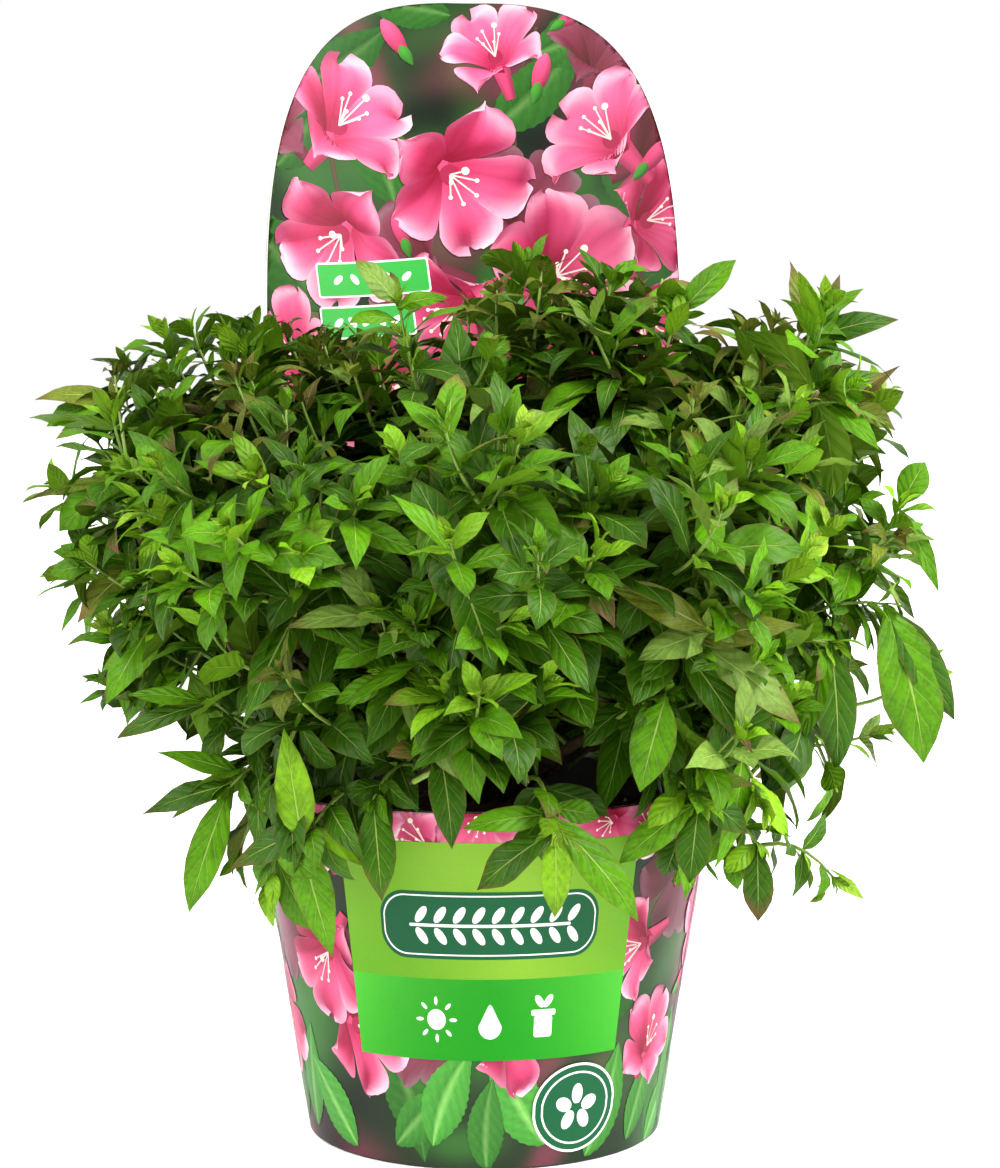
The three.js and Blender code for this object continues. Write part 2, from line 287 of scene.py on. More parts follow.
def grain_group():
    """Soft blotches and fine grain from object coordinates."""
    sizes = {"Blotch Size": 20.0, "Grain Size": 400.0}
    tree, start, end = group("surface_grain", sizes, ("Blotch", "Grain"))
    place = node(tree, "ShaderNodeTexCoord").outputs["Object"]
    for label in ("Blotch", "Grain"):
        feeds = {"Vector": place, "Scale": start[label + " Size"], "Detail": 2.0}
        tree.links.new(node(tree, "ShaderNodeTexNoise", feeds).outputs["Fac"], end[label])
    return tree


def vein_group():
    """The pale rib and the quilted veins of a leaf, from its own map."""
    sizes = {"Rib Width": 0.05, "Vein Pairs": 6.0, "Vein Rake": 0.55}
    tree, start, end = group("leaf_veins", sizes, ("Rib", "Vein", "Relief", "Side", "Along"))
    uv = node(tree, "ShaderNodeSeparateXYZ", {0: node(tree, "ShaderNodeUVMap", uv_map="UVMap").outputs[0]})
    side = maths(tree, "MULTIPLY", maths(tree, "ABSOLUTE", maths(tree, "SUBTRACT", uv.outputs[0], 0.5)), 2.0)
    taper = maths(tree, "SUBTRACT", 1.25, uv.outputs[1])
    width = maths(tree, "MULTIPLY", start["Rib Width"], taper)
    rib = maths(tree, "SUBTRACT", 1.0, maths(tree, "DIVIDE", side, width))
    rib = maths(tree, "MAXIMUM", rib, 0.0)
    rib = maths(tree, "MINIMUM", maths(tree, "MULTIPLY", rib, 2.0), 1.0)
    rake = maths(tree, "MULTIPLY", maths(tree, "POWER", side, 0.8), start["Vein Rake"])
    run = maths(tree, "SUBTRACT", maths(tree, "MULTIPLY", uv.outputs[1], start["Vein Pairs"]), rake)
    wave = maths(tree, "ABSOLUTE", maths(tree, "SUBTRACT", maths(tree, "FRACT", run), 0.5))
    vein = maths(tree, "MULTIPLY", maths(tree, "MAXIMUM", maths(tree, "SUBTRACT", wave, 0.42), 0.0), 12.5)
    fade = maths(tree, "SUBTRACT", 1.0, maths(tree, "POWER", side, 3.0))
    vein = maths(tree, "MULTIPLY", vein, fade)
    quilt = maths(tree, "SUBTRACT", 0.5, wave)
    relief = maths(tree, "SUBTRACT", quilt, maths(tree, "MULTIPLY", rib, 0.6))
    made = {"Rib": rib, "Vein": vein, "Relief": relief, "Side": side, "Along": uv.outputs[1]}
    for label, value in made.items():
        tree.links.new(value, end[label])
    return tree


def new_finish(name, **constants):
    """A material with an empty Principled shader; constants are set on its sockets."""
    finish = bpy.data.materials.new(name)
    finish.use_nodes = True
    tree = finish.node_tree
    shader = tree.nodes["Principled BSDF"]
    for label, value in constants.items():
        shader.inputs[label.replace("_", " ")].default_value = value
    return finish, tree, shader


def place_group(tree, name, maker, feeds):
    """Places a shared group in a material with its own values; gives its outputs."""
    made = tree.nodes.new("ShaderNodeGroup")
    made.node_tree = bpy.data.node_groups.get(name) or maker()
    for key, value in feeds.items():
        made.inputs[key].default_value = value
    return made.outputs


def place_grain(tree, blotch, fine):
    return place_group(tree, "surface_grain", grain_group, {"Blotch Size": blotch, "Grain Size": fine})


def coat(tree, shader, colour, gloss, rough, height, strength, relief):
    """Links a finish's colour, its gloss within two roughnesses, and its relief."""
    tree.links.new(colour, shader.inputs["Base Color"])
    tree.links.new(ranged(tree, gloss, 0.0, 1.0, *rough), shader.inputs["Roughness"])
    bump = node(tree, "ShaderNodeBump", {"Height": height, "Strength": strength, "Distance": relief * MM})
    tree.links.new(bump.outputs[0], shader.inputs["Normal"])


def mottled_finish(name, light, dark, blotch, fine, rough, relief):
    """A dull finish with two colours in blotches, and grain in its gloss and relief."""
    finish, tree, shader = new_finish(name)
    grain = place_grain(tree, blotch, fine)
    share = maths(tree, "MULTIPLY_ADD", grain["Blotch"], 0.6, maths(tree, "MULTIPLY", grain["Grain"], 0.4))
    colour = mix_colour(tree, ranged(tree, share, 0.36, 0.64), dark, light)
    coat(tree, shader, colour, grain["Grain"], rough, grain["Grain"], 0.6, relief)
    return finish


def leaf_finish(name, blade, rib, back, dry):
    """A leaf colour with a pale rib, quilted veins, browned edges and a duller underside.

    The leaf's own shade sets its depth of colour, with painted sunlight on the right of the crown, and its
    drought how far its tip has browned.
    """
    finish, tree, shader = new_finish(name, Specular_IOR_Level=0.14)
    sizes = {"Rib Width": 0.07, "Vein Pairs": 6.0, "Vein Rake": 1.7}
    veins = place_group(tree, "leaf_veins", vein_group, sizes)
    grain = place_grain(tree, 110.0, 620.0)
    shade = node(tree, "ShaderNodeAttribute", attribute_name="shade").outputs["Fac"]
    drought = node(tree, "ShaderNodeAttribute", attribute_name="drought").outputs["Fac"]
    dark = tuple(part * 0.58 for part in blade)
    mottle_and_quilt_shade = maths(tree, "MULTIPLY_ADD", grain["Grain"], 0.6, maths(tree, "MULTIPLY", grain["Blotch"], 0.7))
    # The vein relief also goes into the colour: painted shade in the vein grooves and painted highlight on the
    # raised puffs between them.
    mottle_and_quilt_shade = maths(tree, "MULTIPLY_ADD", veins["Relief"], 0.35, mottle_and_quilt_shade)
    colour = mix_colour(tree, ranged(tree, mottle_and_quilt_shade, 0.52, 0.86), dark, blade)
    colour = mix_colour(tree, maths(tree, "MULTIPLY", veins["Vein"], 0.26), colour, rib)
    colour = mix_colour(tree, maths(tree, "MULTIPLY", veins["Rib"], 0.7), colour, rib)
    reach = maths(tree, "MULTIPLY_ADD", grain["Blotch"], 0.5, veins["Along"])
    reach = maths(tree, "MULTIPLY_ADD", maths(tree, "POWER", veins["Side"], 2.0), 0.2, reach)
    tip = ranged(tree, maths(tree, "ADD", reach, drought), 1.5, 1.85)
    edge = ranged(tree, veins["Side"], 0.82, 1.0, 0.0, 0.4)
    browned = maths(tree, "MAXIMUM", tip, edge)
    colour = mix_colour(tree, maths(tree, "MULTIPLY", browned, 0.85), colour, dry)
    facing = node(tree, "ShaderNodeNewGeometry").outputs["Backfacing"]
    colour = mix_colour(tree, maths(tree, "MULTIPLY", facing, 0.75), colour, back)
    # The leaf's shade holds its random tone and, on the right of the crown, painted sunlight.
    colour = shaded(tree, colour, shade)
    coat(tree, shader, colour, grain["Grain"], (0.34, 0.52), veins["Relief"], 0.75, 0.7)
    return finish


def print_finish(name):
    """Satin coated card that takes its colours from the piece's painted tints."""
    finish, tree, shader = new_finish(name, Specular_IOR_Level=0.18)
    tint = node(tree, "ShaderNodeAttribute", attribute_name="tint").outputs["Color"]
    grain = place_grain(tree, 60.0, 900.0)
    colour = shaded(tree, tint, ranged(tree, grain["Grain"], 0.0, 1.0, 0.93, 1.05))
    coat(tree, shader, colour, grain["Blotch"], (0.31, 0.43), grain["Blotch"], 0.15, 0.6)
    return finish


# ---- Settings --------------------------------------------------------------
def colour_setting(label, text, red, green, blue):
    return FloatVectorProperty(
        name=label, description=text, subtype="COLOR", size=3, min=0.0, max=1.0,
        default=tone(red, green, blue))


def length_setting(label, text, millimetres):
    return FloatProperty(
        name=label, description=text, subtype="DISTANCE", unit="LENGTH", min=0.0, default=millimetres * MM
    )


def number_setting(label, text, default):
    return FloatProperty(name=label, description=text, default=default)


class WEIGELA_PG_pot(bpy.types.PropertyGroup):
    plastic: colour_setting("Plastic", "Colour of the moulded pot", 34, 34, 36)
    plastic_worn: colour_setting("Worn plastic", "Colour of its dusty patches", 58, 57, 56)
    compost: colour_setting("Compost", "Colour of the compost where it is moist", 44, 31, 22)
    compost_dry: colour_setting("Dry compost", "Colour of its dry crumbs", 92, 68, 48)
    crumb_size: length_setting("Crumb size", "Radius of a crumb of compost", 1.9)
    crumb_density: number_setting("Crumb density", "Crumbs on a square metre", 70000.0)


class WEIGELA_PG_wrap(bpy.types.PropertyGroup):
    card: colour_setting("Card", "Colour of the unprinted side", 214, 214, 206)
    ground: colour_setting("Ground", "Darkest green of the printed ground", 30, 46, 26)
    petal: colour_setting("Petal", "Pink of the printed blossoms", 224, 88, 132)
    petal_edge: colour_setting("Petal edge", "Pale pink of their edges", 246, 190, 208)
    throat: colour_setting("Throat", "Deep pink of their throats", 186, 44, 84)
    foliage: colour_setting("Printed leaf", "Green of the printed leaves", 66, 138, 48)
    label_top: colour_setting("Label top", "Upper green of the label", 92, 156, 16)
    label_foot: colour_setting("Label foot", "Lower green of the label", 8, 136, 4)
    plaque: colour_setting("Plaque", "Dark green of the plaque and the round spot", 6, 84, 48)
    tag: colour_setting("Tag", "Green of the two small tags", 60, 176, 70)


class WEIGELA_PG_plant(bpy.types.PropertyGroup):
    seed: IntProperty(name="Seed", description="Seed of the branching and the leaves", default=11)
    leaf_length: length_setting("Leaf length", "Length of a full-grown leaf", 44.0)
    leaf_width: length_setting("Leaf width", "Width of a full-grown leaf", 15.6)
    shoot_spacing: length_setting("Shoot spacing", "Distance between the tips of two shoots", 23.5)
    shoot_length: length_setting("Shoot length", "Length of a leafy shoot", 70.0)
    shoot_radius: length_setting("Shoot radius", "Radius of a green shoot at its tip", 0.85)
    bark: colour_setting("Bark", "Colour of the bark", 104, 84, 54)
    bark_dark: colour_setting("Bark furrow", "Colour of the furrows in the bark", 52, 38, 28)
    stem: colour_setting("Green stem", "Colour of the young stems", 132, 168, 58)
    lime: colour_setting("Lime leaf", "Leaves at the shoot tips", 148, 190, 46)
    fresh: colour_setting("Fresh leaf", "Young leaves", 116, 166, 20)
    mid: colour_setting("Green leaf", "Full-grown leaves", 80, 134, 4)
    dark: colour_setting("Dark leaf", "Old leaves inside the crown", 50, 92, 2)
    dusky: colour_setting("Dusky leaf", "Grey-green leaves", 110, 142, 54)
    olive: colour_setting("Olive leaf", "Leaves that turn brownish", 102, 116, 30)
    bronze: colour_setting("Bronze leaf", "Bronze leaves of the top shoots", 100, 90, 38)
    withered: colour_setting("Withered tip", "Dry tips and edges", 104, 72, 44)


class WEIGELA_PG_stage(bpy.types.PropertyGroup):
    floor: colour_setting("Floor", "Colour of the floor", 246, 246, 246)
    key_power: number_setting("Key light", "Strength of both soft main lights", 1.56)
    fill_power: number_setting("Side lights", "Power of each side light", 6.0)
    sky: number_setting("Surround", "Light from the pale surround", 0.61)
    camera_height: length_setting("Camera height", "Height of the camera", 298.3)
    camera_distance: length_setting("Camera distance", "Distance of the camera from the pot's axis", 1100.0)


# ---- Pot and compost -------------------------------------------------------
CRUMB_REACH = 86  # how far from the pot's axis crumbs lie
GRIT_SHARE = 0.05  # white grains for each crumb
GRIT_SIZE = 0.7  # of a crumb's size


def crumb_tree(finish):
    """Geometry nodes that scatter uneven crumbs over a surface."""
    tree = bpy.data.node_groups.new("compost_crumbs", "GeometryNodeTree")
    tree.interface.new_socket("Geometry", in_out="INPUT", socket_type="NodeSocketGeometry")
    for label in ("Density", "Crumb Size"):
        tree.interface.new_socket(label, in_out="INPUT", socket_type="NodeSocketFloat")
    tree.interface.new_socket("Seed", in_out="INPUT", socket_type="NodeSocketInt")
    tree.interface.new_socket("Geometry", in_out="OUTPUT", socket_type="NodeSocketGeometry")
    start = tree.nodes.new("NodeGroupInput").outputs
    end = tree.nodes.new("NodeGroupOutput").inputs
    scatter = node(tree, "GeometryNodeDistributePointsOnFaces",
                   {"Mesh": start["Geometry"], "Density": start["Density"], "Seed": start["Seed"]})
    ball = node(tree, "GeometryNodeMeshIcoSphere", {"Radius": start["Crumb Size"], "Subdivisions": 1})
    turn = node(tree, "FunctionNodeRandomValue", {1: (6.3, 6.3, 6.3), "Seed": start["Seed"]},
                data_type="FLOAT_VECTOR")
    swell = node(tree, "FunctionNodeRandomValue",
                 {0: (0.4, 0.4, 0.3), 1: (1.3, 1.1, 0.9), "Seed": start["Seed"]},
                 data_type="FLOAT_VECTOR")
    lay = node(tree, "GeometryNodeInstanceOnPoints",
               {"Points": scatter.outputs["Points"], "Instance": ball.outputs[0],
                "Rotation": turn.outputs[0], "Scale": swell.outputs[0]})
    real = node(tree, "GeometryNodeRealizeInstances", {0: lay.outputs[0]})
    coated = node(tree, "GeometryNodeSetMaterial", {"Geometry": real.outputs[0], "Material": finish})
    tree.links.new(coated.outputs[0], end["Geometry"])
    return tree


def scatter_crumbs(name, bed, finish, density, size, seed):
    """Runs the crumb nodes on a bed of triangles and keeps the plain mesh."""
    holder = new_object(name + "_bed", bed)
    tree = crumb_tree(finish)
    modifier = holder.modifiers.new("crumbs", "NODES")
    modifier.node_group = tree
    named = {item.name: item.identifier for item in tree.interface.items_tree if item.in_out == "INPUT"}
    modifier[named["Density"]] = density
    modifier[named["Crumb Size"]] = size
    modifier[named["Seed"]] = seed
    depsgraph = bpy.context.evaluated_depsgraph_get()
    mesh = bpy.data.meshes.new_from_object(holder.evaluated_get(depsgraph))
    mesh.name = name
    bpy.data.objects.remove(holder)
    piece = new_object(name, mesh)
    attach(piece, "root")


def compost_bed():
    """The upper face of the root ball, as far out as crumbs lie."""
    ball = NODES["root_ball"].data
    bed = bpy.data.meshes.new("compost_bed")
    corners, faces = [], []
    for face in ball.polygons:
        if face.normal.z < 0.5 or Vector(face.center[:2]).length > CRUMB_REACH * MM:
            continue
        faces.append([len(corners) + i for i in range(len(face.vertices))])
        corners.extend(ball.vertices[i].co[:] for i in face.vertices)
    bed.from_pydata(corners, [], faces)
    return bed


class WEIGELA_OT_pot(bpy.types.Operator):
    """Finish the moulded nursery pot and the compost in it"""

    bl_idname = "weigela.pot"
    bl_label = "Pot and Compost"

    def execute(self, context):
        pot = context.scene.weigela_pot
        earth = pot.compost_dry, pot.compost
        chalk = tone(224, 218, 204), tone(168, 160, 146)
        plastic = mottled_finish(
            "moulded_plastic", pot.plastic, pot.plastic_worn, 30.0, 900.0, (0.42, 0.62), 0.08)
        compost = mottled_finish("moist_compost", *earth, 140.0, 900.0, (0.85, 1.0), 1.2)
        crumb = mottled_finish("dry_crumb", *earth, 220.0, 1400.0, (0.85, 1.0), 0.4)
        stone = mottled_finish("white_grit", *chalk, 300.0, 1500.0, (0.7, 0.9), 0.2)
        for name, finish in (("pot", plastic), ("root_ball", compost)):
            NODES[name].data.materials.clear()
            NODES[name].data.materials.append(finish)
        density, size = pot.crumb_density, pot.crumb_size
        scatter_crumbs("compost_crumbs", compost_bed(), crumb, density, size, 5)
        scatter_crumbs("compost_grit", compost_bed(), stone, density * GRIT_SHARE, size * GRIT_SIZE, 9)
        return {"FINISHED"}


# ---- The printed wrap ------------------------------------------------------
def painted_ground(across, up, seed, palette):
    """The soft, out-of-focus picture behind the blossoms, as a colour for each point."""
    rng = np.random.default_rng(seed)
    paint = np.broadcast_to(np.array(palette["ground"]), (*across.shape, 3)).copy()
    span = (across.min(), across.max()), (up.min(), up.max())
    area = (span[0][1] - span[0][0]) * (span[1][1] - span[1][0])
    kinds = ("shadow", "foliage", "shadow", "foliage", "haze", "blur")
    strengths = {"shadow": 0.75, "foliage": 0.4, "haze": 0.45, "blur": 0.5}
    for _ in range(int(area / 900)):
        kind = kinds[rng.integers(len(kinds))]
        x, y = rng.uniform(*span[0]), rng.uniform(*span[1])
        turn, long, wide = rng.uniform(0, math.pi), rng.uniform(16, 42), rng.uniform(7, 18)
        du = (across - x) * math.cos(turn) + (up - y) * math.sin(turn)
        dv = (up - y) * math.cos(turn) - (across - x) * math.sin(turn)
        share = strengths[kind] * np.exp(-(((du / long) ** 2 + (dv / wide) ** 2) ** 1.4))
        paint = blend(paint, palette[kind], share)
    return paint


def plain_at_join(paint, above, palette):
    """Takes the soft picture back to its ground where band and panel meet, so no line shows."""
    return blend(paint, palette["ground"], np.exp(-((above / JOIN_FADE) ** 2)))


def under_join(along, height, reach):
    """Lowers a motif of the band that would be cut where the panel rises from the rim."""
    behind = abs(along) > PANEL_FOOT_ALONG - reach
    return min(height, WRAP_RIM - 1.25 * reach) if behind else height


def panel_half_width(rise):
    """Half-width of the unrolled panel at a height above the rim."""
    rise = np.asarray(rise, float)
    drop = np.clip(1 - rise / PANEL_FILLET, 0, 1)
    fillet = PANEL_FOOT_HALF_WIDTH + PANEL_FILLET * (1 - np.sqrt(1 - drop ** 2))
    share = np.clip((rise - PANEL_FILLET) / (PANEL_SHOULDER - PANEL_FILLET), 0, 1)
    side = PANEL_FOOT_HALF_WIDTH + (PANEL_HALF_WIDTH - PANEL_FOOT_HALF_WIDTH) * share
    climb = np.clip((rise - PANEL_SHOULDER) / (PANEL_RISE - PANEL_SHOULDER), 0, 1)
    arch = PANEL_HALF_WIDTH * (1 - climb ** PANEL_POWER) ** (1 / PANEL_POWER)
    return np.where(rise < PANEL_FILLET, fillet, np.where(rise < PANEL_SHOULDER, side, arch))


def panel_rows():
    fillet = PANEL_FILLET * (1 - np.cos(np.linspace(0, math.pi / 2, 7)))
    side = np.linspace(PANEL_FILLET, PANEL_SHOULDER, 46)[1:]
    turn = np.linspace(0, math.radians(87.5), 56)[1:]
    arch = PANEL_SHOULDER + (PANEL_RISE - PANEL_SHOULDER) * np.sin(turn) ** (2 / PANEL_POWER)
    return np.concatenate([fillet, side, arch])


def panel_grid(columns):
    """Unrolled places of the panel: its lowest rows follow the rim's arc."""
    rise = panel_rows()[:, None]
    across = panel_half_width(rise) * np.linspace(-1, 1, columns)[None, :]
    sag = np.sqrt(RIM_RAY ** 2 - across ** 2) - RIM_RAY
    hold = np.clip((PANEL_SHOULDER - rise) / (PANEL_SHOULDER - PANEL_FILLET), 0, 1)
    return across, rise + sag * hold


def outline_of(rows, columns):
    """Indices round the edge of a sheet of points."""
    foot = list(range(columns))
    right = [row * columns + columns - 1 for row in range(1, rows)]
    top = [(rows - 1) * columns + column for column in range(columns - 2, -1, -1)]
    left = [row * columns for row in range(rows - 2, 0, -1)]
    return np.array(foot + right + top + left)


def make_panel(finish, card, palette):
    """The arched panel: a printed front, a printed back and the card's cut edge."""
    columns = 66
    across, up = panel_grid(columns)
    rows = len(across)
    front = on_panel(across, up, -CARD).reshape(-1, 3)
    back = on_panel(across, up, 0.0).reshape(-1, 3)
    faces = sheet_faces(rows, columns)
    edge = outline_of(rows, columns)
    after = np.roll(edge, -1)
    size = rows * columns
    strip = np.concatenate([
        np.stack([edge, edge + size, after + size], -1),
        np.stack([edge, after + size, after], -1),
    ])
    points = np.concatenate([front, back, front, back])
    strip = strip + 2 * size
    faces = np.concatenate([faces, faces[:, ::-1] + size, strip])
    above = np.hypot(across, RIM_RAY + up) - RIM_RAY
    behind = plain_at_join(painted_ground(across, up + WRAP_RIM, 23, palette), above, palette)
    tints = np.concatenate([
        painted_ground(across, up, 11, palette).reshape(-1, 3),
        behind.reshape(-1, 3),
        np.tile(card, (2 * size, 1)),
    ])
    used = np.unique(faces)
    renumber = np.zeros(len(points), int)
    renumber[used] = np.arange(len(used))
    write_piece("wrap_panel", points[used], renumber[faces], finish, "wrap", tints=tints[used])


def make_band(finish, card, palette):
    """The band round the pot: printed outside, plain inside, with its cut edges."""
    columns, rows = 176, 46
    angle = np.linspace(-math.pi, math.pi, columns, endpoint=False)[None, :]
    heights = np.linspace(WRAP_FOOT, WRAP_RIM, rows)[:, None]
    outer = on_band(angle, heights, 0.0)
    inner = on_band(angle, heights, -CARD)
    along = angle * WRAP_RIM_RADIUS + 0 * heights
    paint = painted_ground(along, heights + 0 * angle, 31, palette)
    paint = plain_at_join(paint, heights - WRAP_RIM, palette)
    plain = np.broadcast_to(card, outer.shape)
    size = rows * columns
    body = sheet_faces(rows, columns, joined=True)
    rim = sheet_faces(2, columns, joined=True)
    last = size - columns
    parts = [
        (outer.reshape(-1, 3), body),
        (inner.reshape(-1, 3), body[:, ::-1]),
        (np.concatenate([outer.reshape(-1, 3)[last:], inner.reshape(-1, 3)[last:]]), rim),
        (np.concatenate([inner.reshape(-1, 3)[:columns], outer.reshape(-1, 3)[:columns]]), rim),
    ]
    points, faces = merge(parts)
    tints = np.concatenate([paint.reshape(-1, 3), plain.reshape(-1, 3), np.tile(card, (4 * columns, 1))])
    write_piece("wrap_band", points, faces, finish, "wrap", ["printed_wrap"], tints=tints)


# Motifs are sheets of (places in the card's plane, colours, triangles, lift).
PICTURE_LIGHT = unit([-0.35, 0.55, 0.75])
PINK_SHADE = (0.75, 1.9, 1.35)
GREEN_SHADE = (1.35, 0.95, 1.3)
LAYER = 0.014  # between two parts of one motif
LEVEL = 0.12  # between overlapping motifs
# The band's picture from the card outwards, in levels, so that sheets that overlap
# seldom share a height.
FAR_LEAF_STEP = 0.17
FAR_BLOOM = 0.2
FOOT_LEAF = 1.05
FOOT_LEAF_STEP = 0.2
NEAR_BLOOM = 1.45
NEAR_BLOOM_STEP = 0.9


def lit(points, tones, depth=0.5, deepen=(1.0, 1.0, 1.0)):
    """Shades the colours of a modelled sheet by its own relief.

    deepen says how much faster than the light each of red, green and blue falls off.
    """
    along = np.gradient(points, axis=0)
    across = np.gradient(points, axis=1)
    facing = unit(np.cross(across, along))
    facing = facing * np.where(facing[..., 2:] < 0, -1, 1)
    glow = 1 - depth + depth * 1.25 * np.clip(facing @ PICTURE_LIGHT, 0, 1)
    return tones * glow[..., None] ** np.array(deepen)


def grid_motif(points, tones, lift):
    rows, columns = points.shape[:2]
    return points[..., :2].reshape(-1, 2), tones.reshape(-1, 3), sheet_faces(rows, columns), lift


def plate_motif(centre, half_wide, half_tall, corner, colour, lift, turn=0.0):
    """A plate with round corners, gridded finely enough to follow the curve of the card."""
    arc = corner * (1 - np.cos(np.linspace(0.15, math.pi / 2, 5 + int(min(corner, 6)))))
    steps = max(2, int(half_wide - corner)) if half_wide > corner else 1
    flat = np.linspace(corner, 2 * half_wide - corner, steps)
    x = np.concatenate([arc[:-1], flat, 2 * half_wide - arc[-2::-1]]) - half_wide
    inset = np.clip(corner - half_wide + np.abs(x), 0, corner)
    tall = half_tall - corner + np.sqrt(np.maximum(corner ** 2 - inset ** 2, 0))
    rows = 3 + int(half_tall / 2)
    places = np.stack([np.broadcast_to(x, (rows, len(x))), tall * np.linspace(-1, 1, rows)[:, None]], -1)
    spin = np.array([[math.cos(turn), math.sin(turn)], [-math.sin(turn), math.cos(turn)]])
    places = (places.reshape(-1, 2) @ spin) + np.asarray(centre)
    return places, np.tile(colour, (len(places), 1)), sheet_faces(rows, len(x)), lift


def disc_motif(centre, reach, colour, lift, stretch=1.0, turn=0.0):
    """A round spot, or an oval one where stretch isn't 1."""
    places, tones, faces, lift = plate_motif((0, 0), reach, reach, reach, colour, lift)
    places[:, 0] *= stretch
    spin = np.array([[math.cos(turn), math.sin(turn)], [-math.sin(turn), math.cos(turn)]])
    return places @ spin + np.asarray(centre), tones, faces, lift


def leaning(lean, toward):
    """A turn that leans the picture's depth axis towards a direction in its plane."""
    axis = Vector((-math.sin(toward), math.cos(toward), 0.0))
    return np.array(Matrix.Rotation(lean, 3, axis))


def petal_sheet(direction, palette, rng, pale, cup):
    """One modelled petal of unit reach, and its colours."""
    rows, columns = 13, 11
    out = np.linspace(0, 1, rows)[:, None]
    side = np.linspace(-1, 1, columns)[None, :]
    wave, patch = rng.uniform(0, 6.3, 2)
    width = 0.45 * np.minimum(1, 0.26 + 1.2 * out) * np.sqrt(1 - np.clip((out - 0.5) / 0.5, 0, 0.985) ** 2.6)
    frill = 1 + 0.03 * np.sin(4.5 * side + wave) * out ** 3
    reach = (0.07 + 0.93 * out) * frill
    across = side * width * (1 + 0.05 * np.sin(9 * out + patch) * out)
    depth = -0.7 * (1 - out) ** 2.0 * cup - 0.2 * out ** 4 + 0.16 * side ** 2 * out
    depth = depth + 0.05 * np.sin(5 * out + 3.0 * side + wave) * out
    depth = depth - 0.05 * np.exp(-((side / 0.2) ** 2)) * out
    cosine, sine = math.cos(direction), math.sin(direction)
    points = np.stack([reach * cosine - across * sine, reach * sine + across * cosine, depth], -1)
    tones = blend(palette["throat"], palette["petal"], smoothstep(0.0, 0.5, out + 0.12 * side ** 2))
    cloud = 0.5 + 0.5 * np.sin(3.4 * out + patch) * np.sin(2.2 * side + wave)
    edge = 0.75 * np.abs(side) ** 1.6 * out ** 0.5 + 0.6 * out ** 3 + 0.35 * pale * cloud * out
    tones = blend(tones, palette["petal_edge"], smoothstep(0.3, 1.05, edge) * (0.5 + 0.5 * pale))
    streak = 1 + 0.09 * np.cos(13 * side + 2 * out) * (1 - 0.5 * out) + 0.05 * (cloud - 0.5)
    return points, tones * streak[..., None]


def blossom(across, up, reach, spin, lean, toward, palette, rng,
            level=0, pale=0.5, cup=1.0, dim=1.0, haze=0.0):
    """An open funnel-shaped blossom with five petals, drawn as a modelled picture.

    A far, blurred blossom has a haze, which takes its colours back towards the ground. dim darkens all its
    colours; low on the panel it is painted shade where the crown covers the card.
    """
    turn = leaning(lean, toward)
    layers = []
    rows, columns = 8, 7
    back = np.linspace(0, 1, rows)[:, None]
    angle = np.linspace(0, math.pi * 2, columns)[None, :]
    girth = 0.2 - 0.11 * back
    sunk = -0.35 - 1.15 * back + 0 * angle
    funnel = np.stack([girth * np.cos(angle), girth * np.sin(angle), sunk], -1) @ turn.T
    spine = funnel.mean(1, keepdims=True)
    normal = unit(np.gradient(spine[:, 0, :2], axis=0))[:, None, ::-1] * np.array([-1, 1])
    flat = np.linspace(-1, 1, columns)[None, :, None]
    body = spine[..., :2] + normal * girth[..., None] * flat
    body = np.concatenate([body, np.sqrt(np.maximum(0, 1 - flat ** 2)) * 0.2 + 0 * body[..., :1]], -1)
    tones = blend(palette["petal"], palette["throat"], 0.3 + 0.4 * back + 0 * flat[..., 0])
    layers.append((body, lit(body, tones)))
    petals = []
    for index in range(5):
        direction = spin + index * math.tau / 5 + rng.uniform(-0.08, 0.08)
        points, tones = petal_sheet(direction, palette, rng, pale, cup)
        points = (points * rng.uniform(0.93, 1.07)) @ turn.T
        tones = lit(points, tones * rng.uniform(0.92, 1.06), 0.68, PINK_SHADE)
        petals.append((points[..., 2].mean(), points, tones))
    layers += [(points, tones) for _, points, tones in sorted(petals, key=lambda petal: petal[0])]
    centre = np.array([across, up])
    motifs = []
    for order, (points, tones) in enumerate(layers):
        points = points[..., :2] * reach + centre
        tones = blend(tones * dim, palette["ground"], haze * np.ones(tones.shape[:2]))
        motifs.append(grid_motif(points, tones, level * LEVEL + (order + 1) * LAYER))
    if haze:
        return motifs
    heart = turn @ np.array([0, 0, -0.4])
    middle = centre + heart[:2] * reach
    deep_tone = np.array(palette["throat"]) * 0.72 * dim
    motifs.append(disc_motif(middle, reach * 0.13, deep_tone, level * LEVEL + 7 * LAYER))
    for index in range(6):
        tilt = spin + index * math.tau / 6 + 0.4
        end = turn @ np.array([0.2 * math.cos(tilt), 0.2 * math.sin(tilt), 0.12])
        end = centre + (end[:2] if index else 1.3 * end[:2]) * reach
        line = end - middle
        normal = unit([line[1], -line[0]]) * reach * 0.011
        share = np.linspace(0, 1, 4)[:, None]
        strip = (middle + line * share)[:, None, :] + normal * np.array([-1, 1])[None, :, None]
        pale_tone = np.tile(tone(244, 206, 200), (4, 2, 1)) * dim
        motifs.append(grid_motif(strip, pale_tone, level * LEVEL + 8 * LAYER))
        knob = 0.028 if index else 0.05
        cream = np.array(tone(252, 240, 214)) * dim
        motifs.append(disc_motif(end, reach * knob, cream, level * LEVEL + 9 * LAYER))
    return motifs


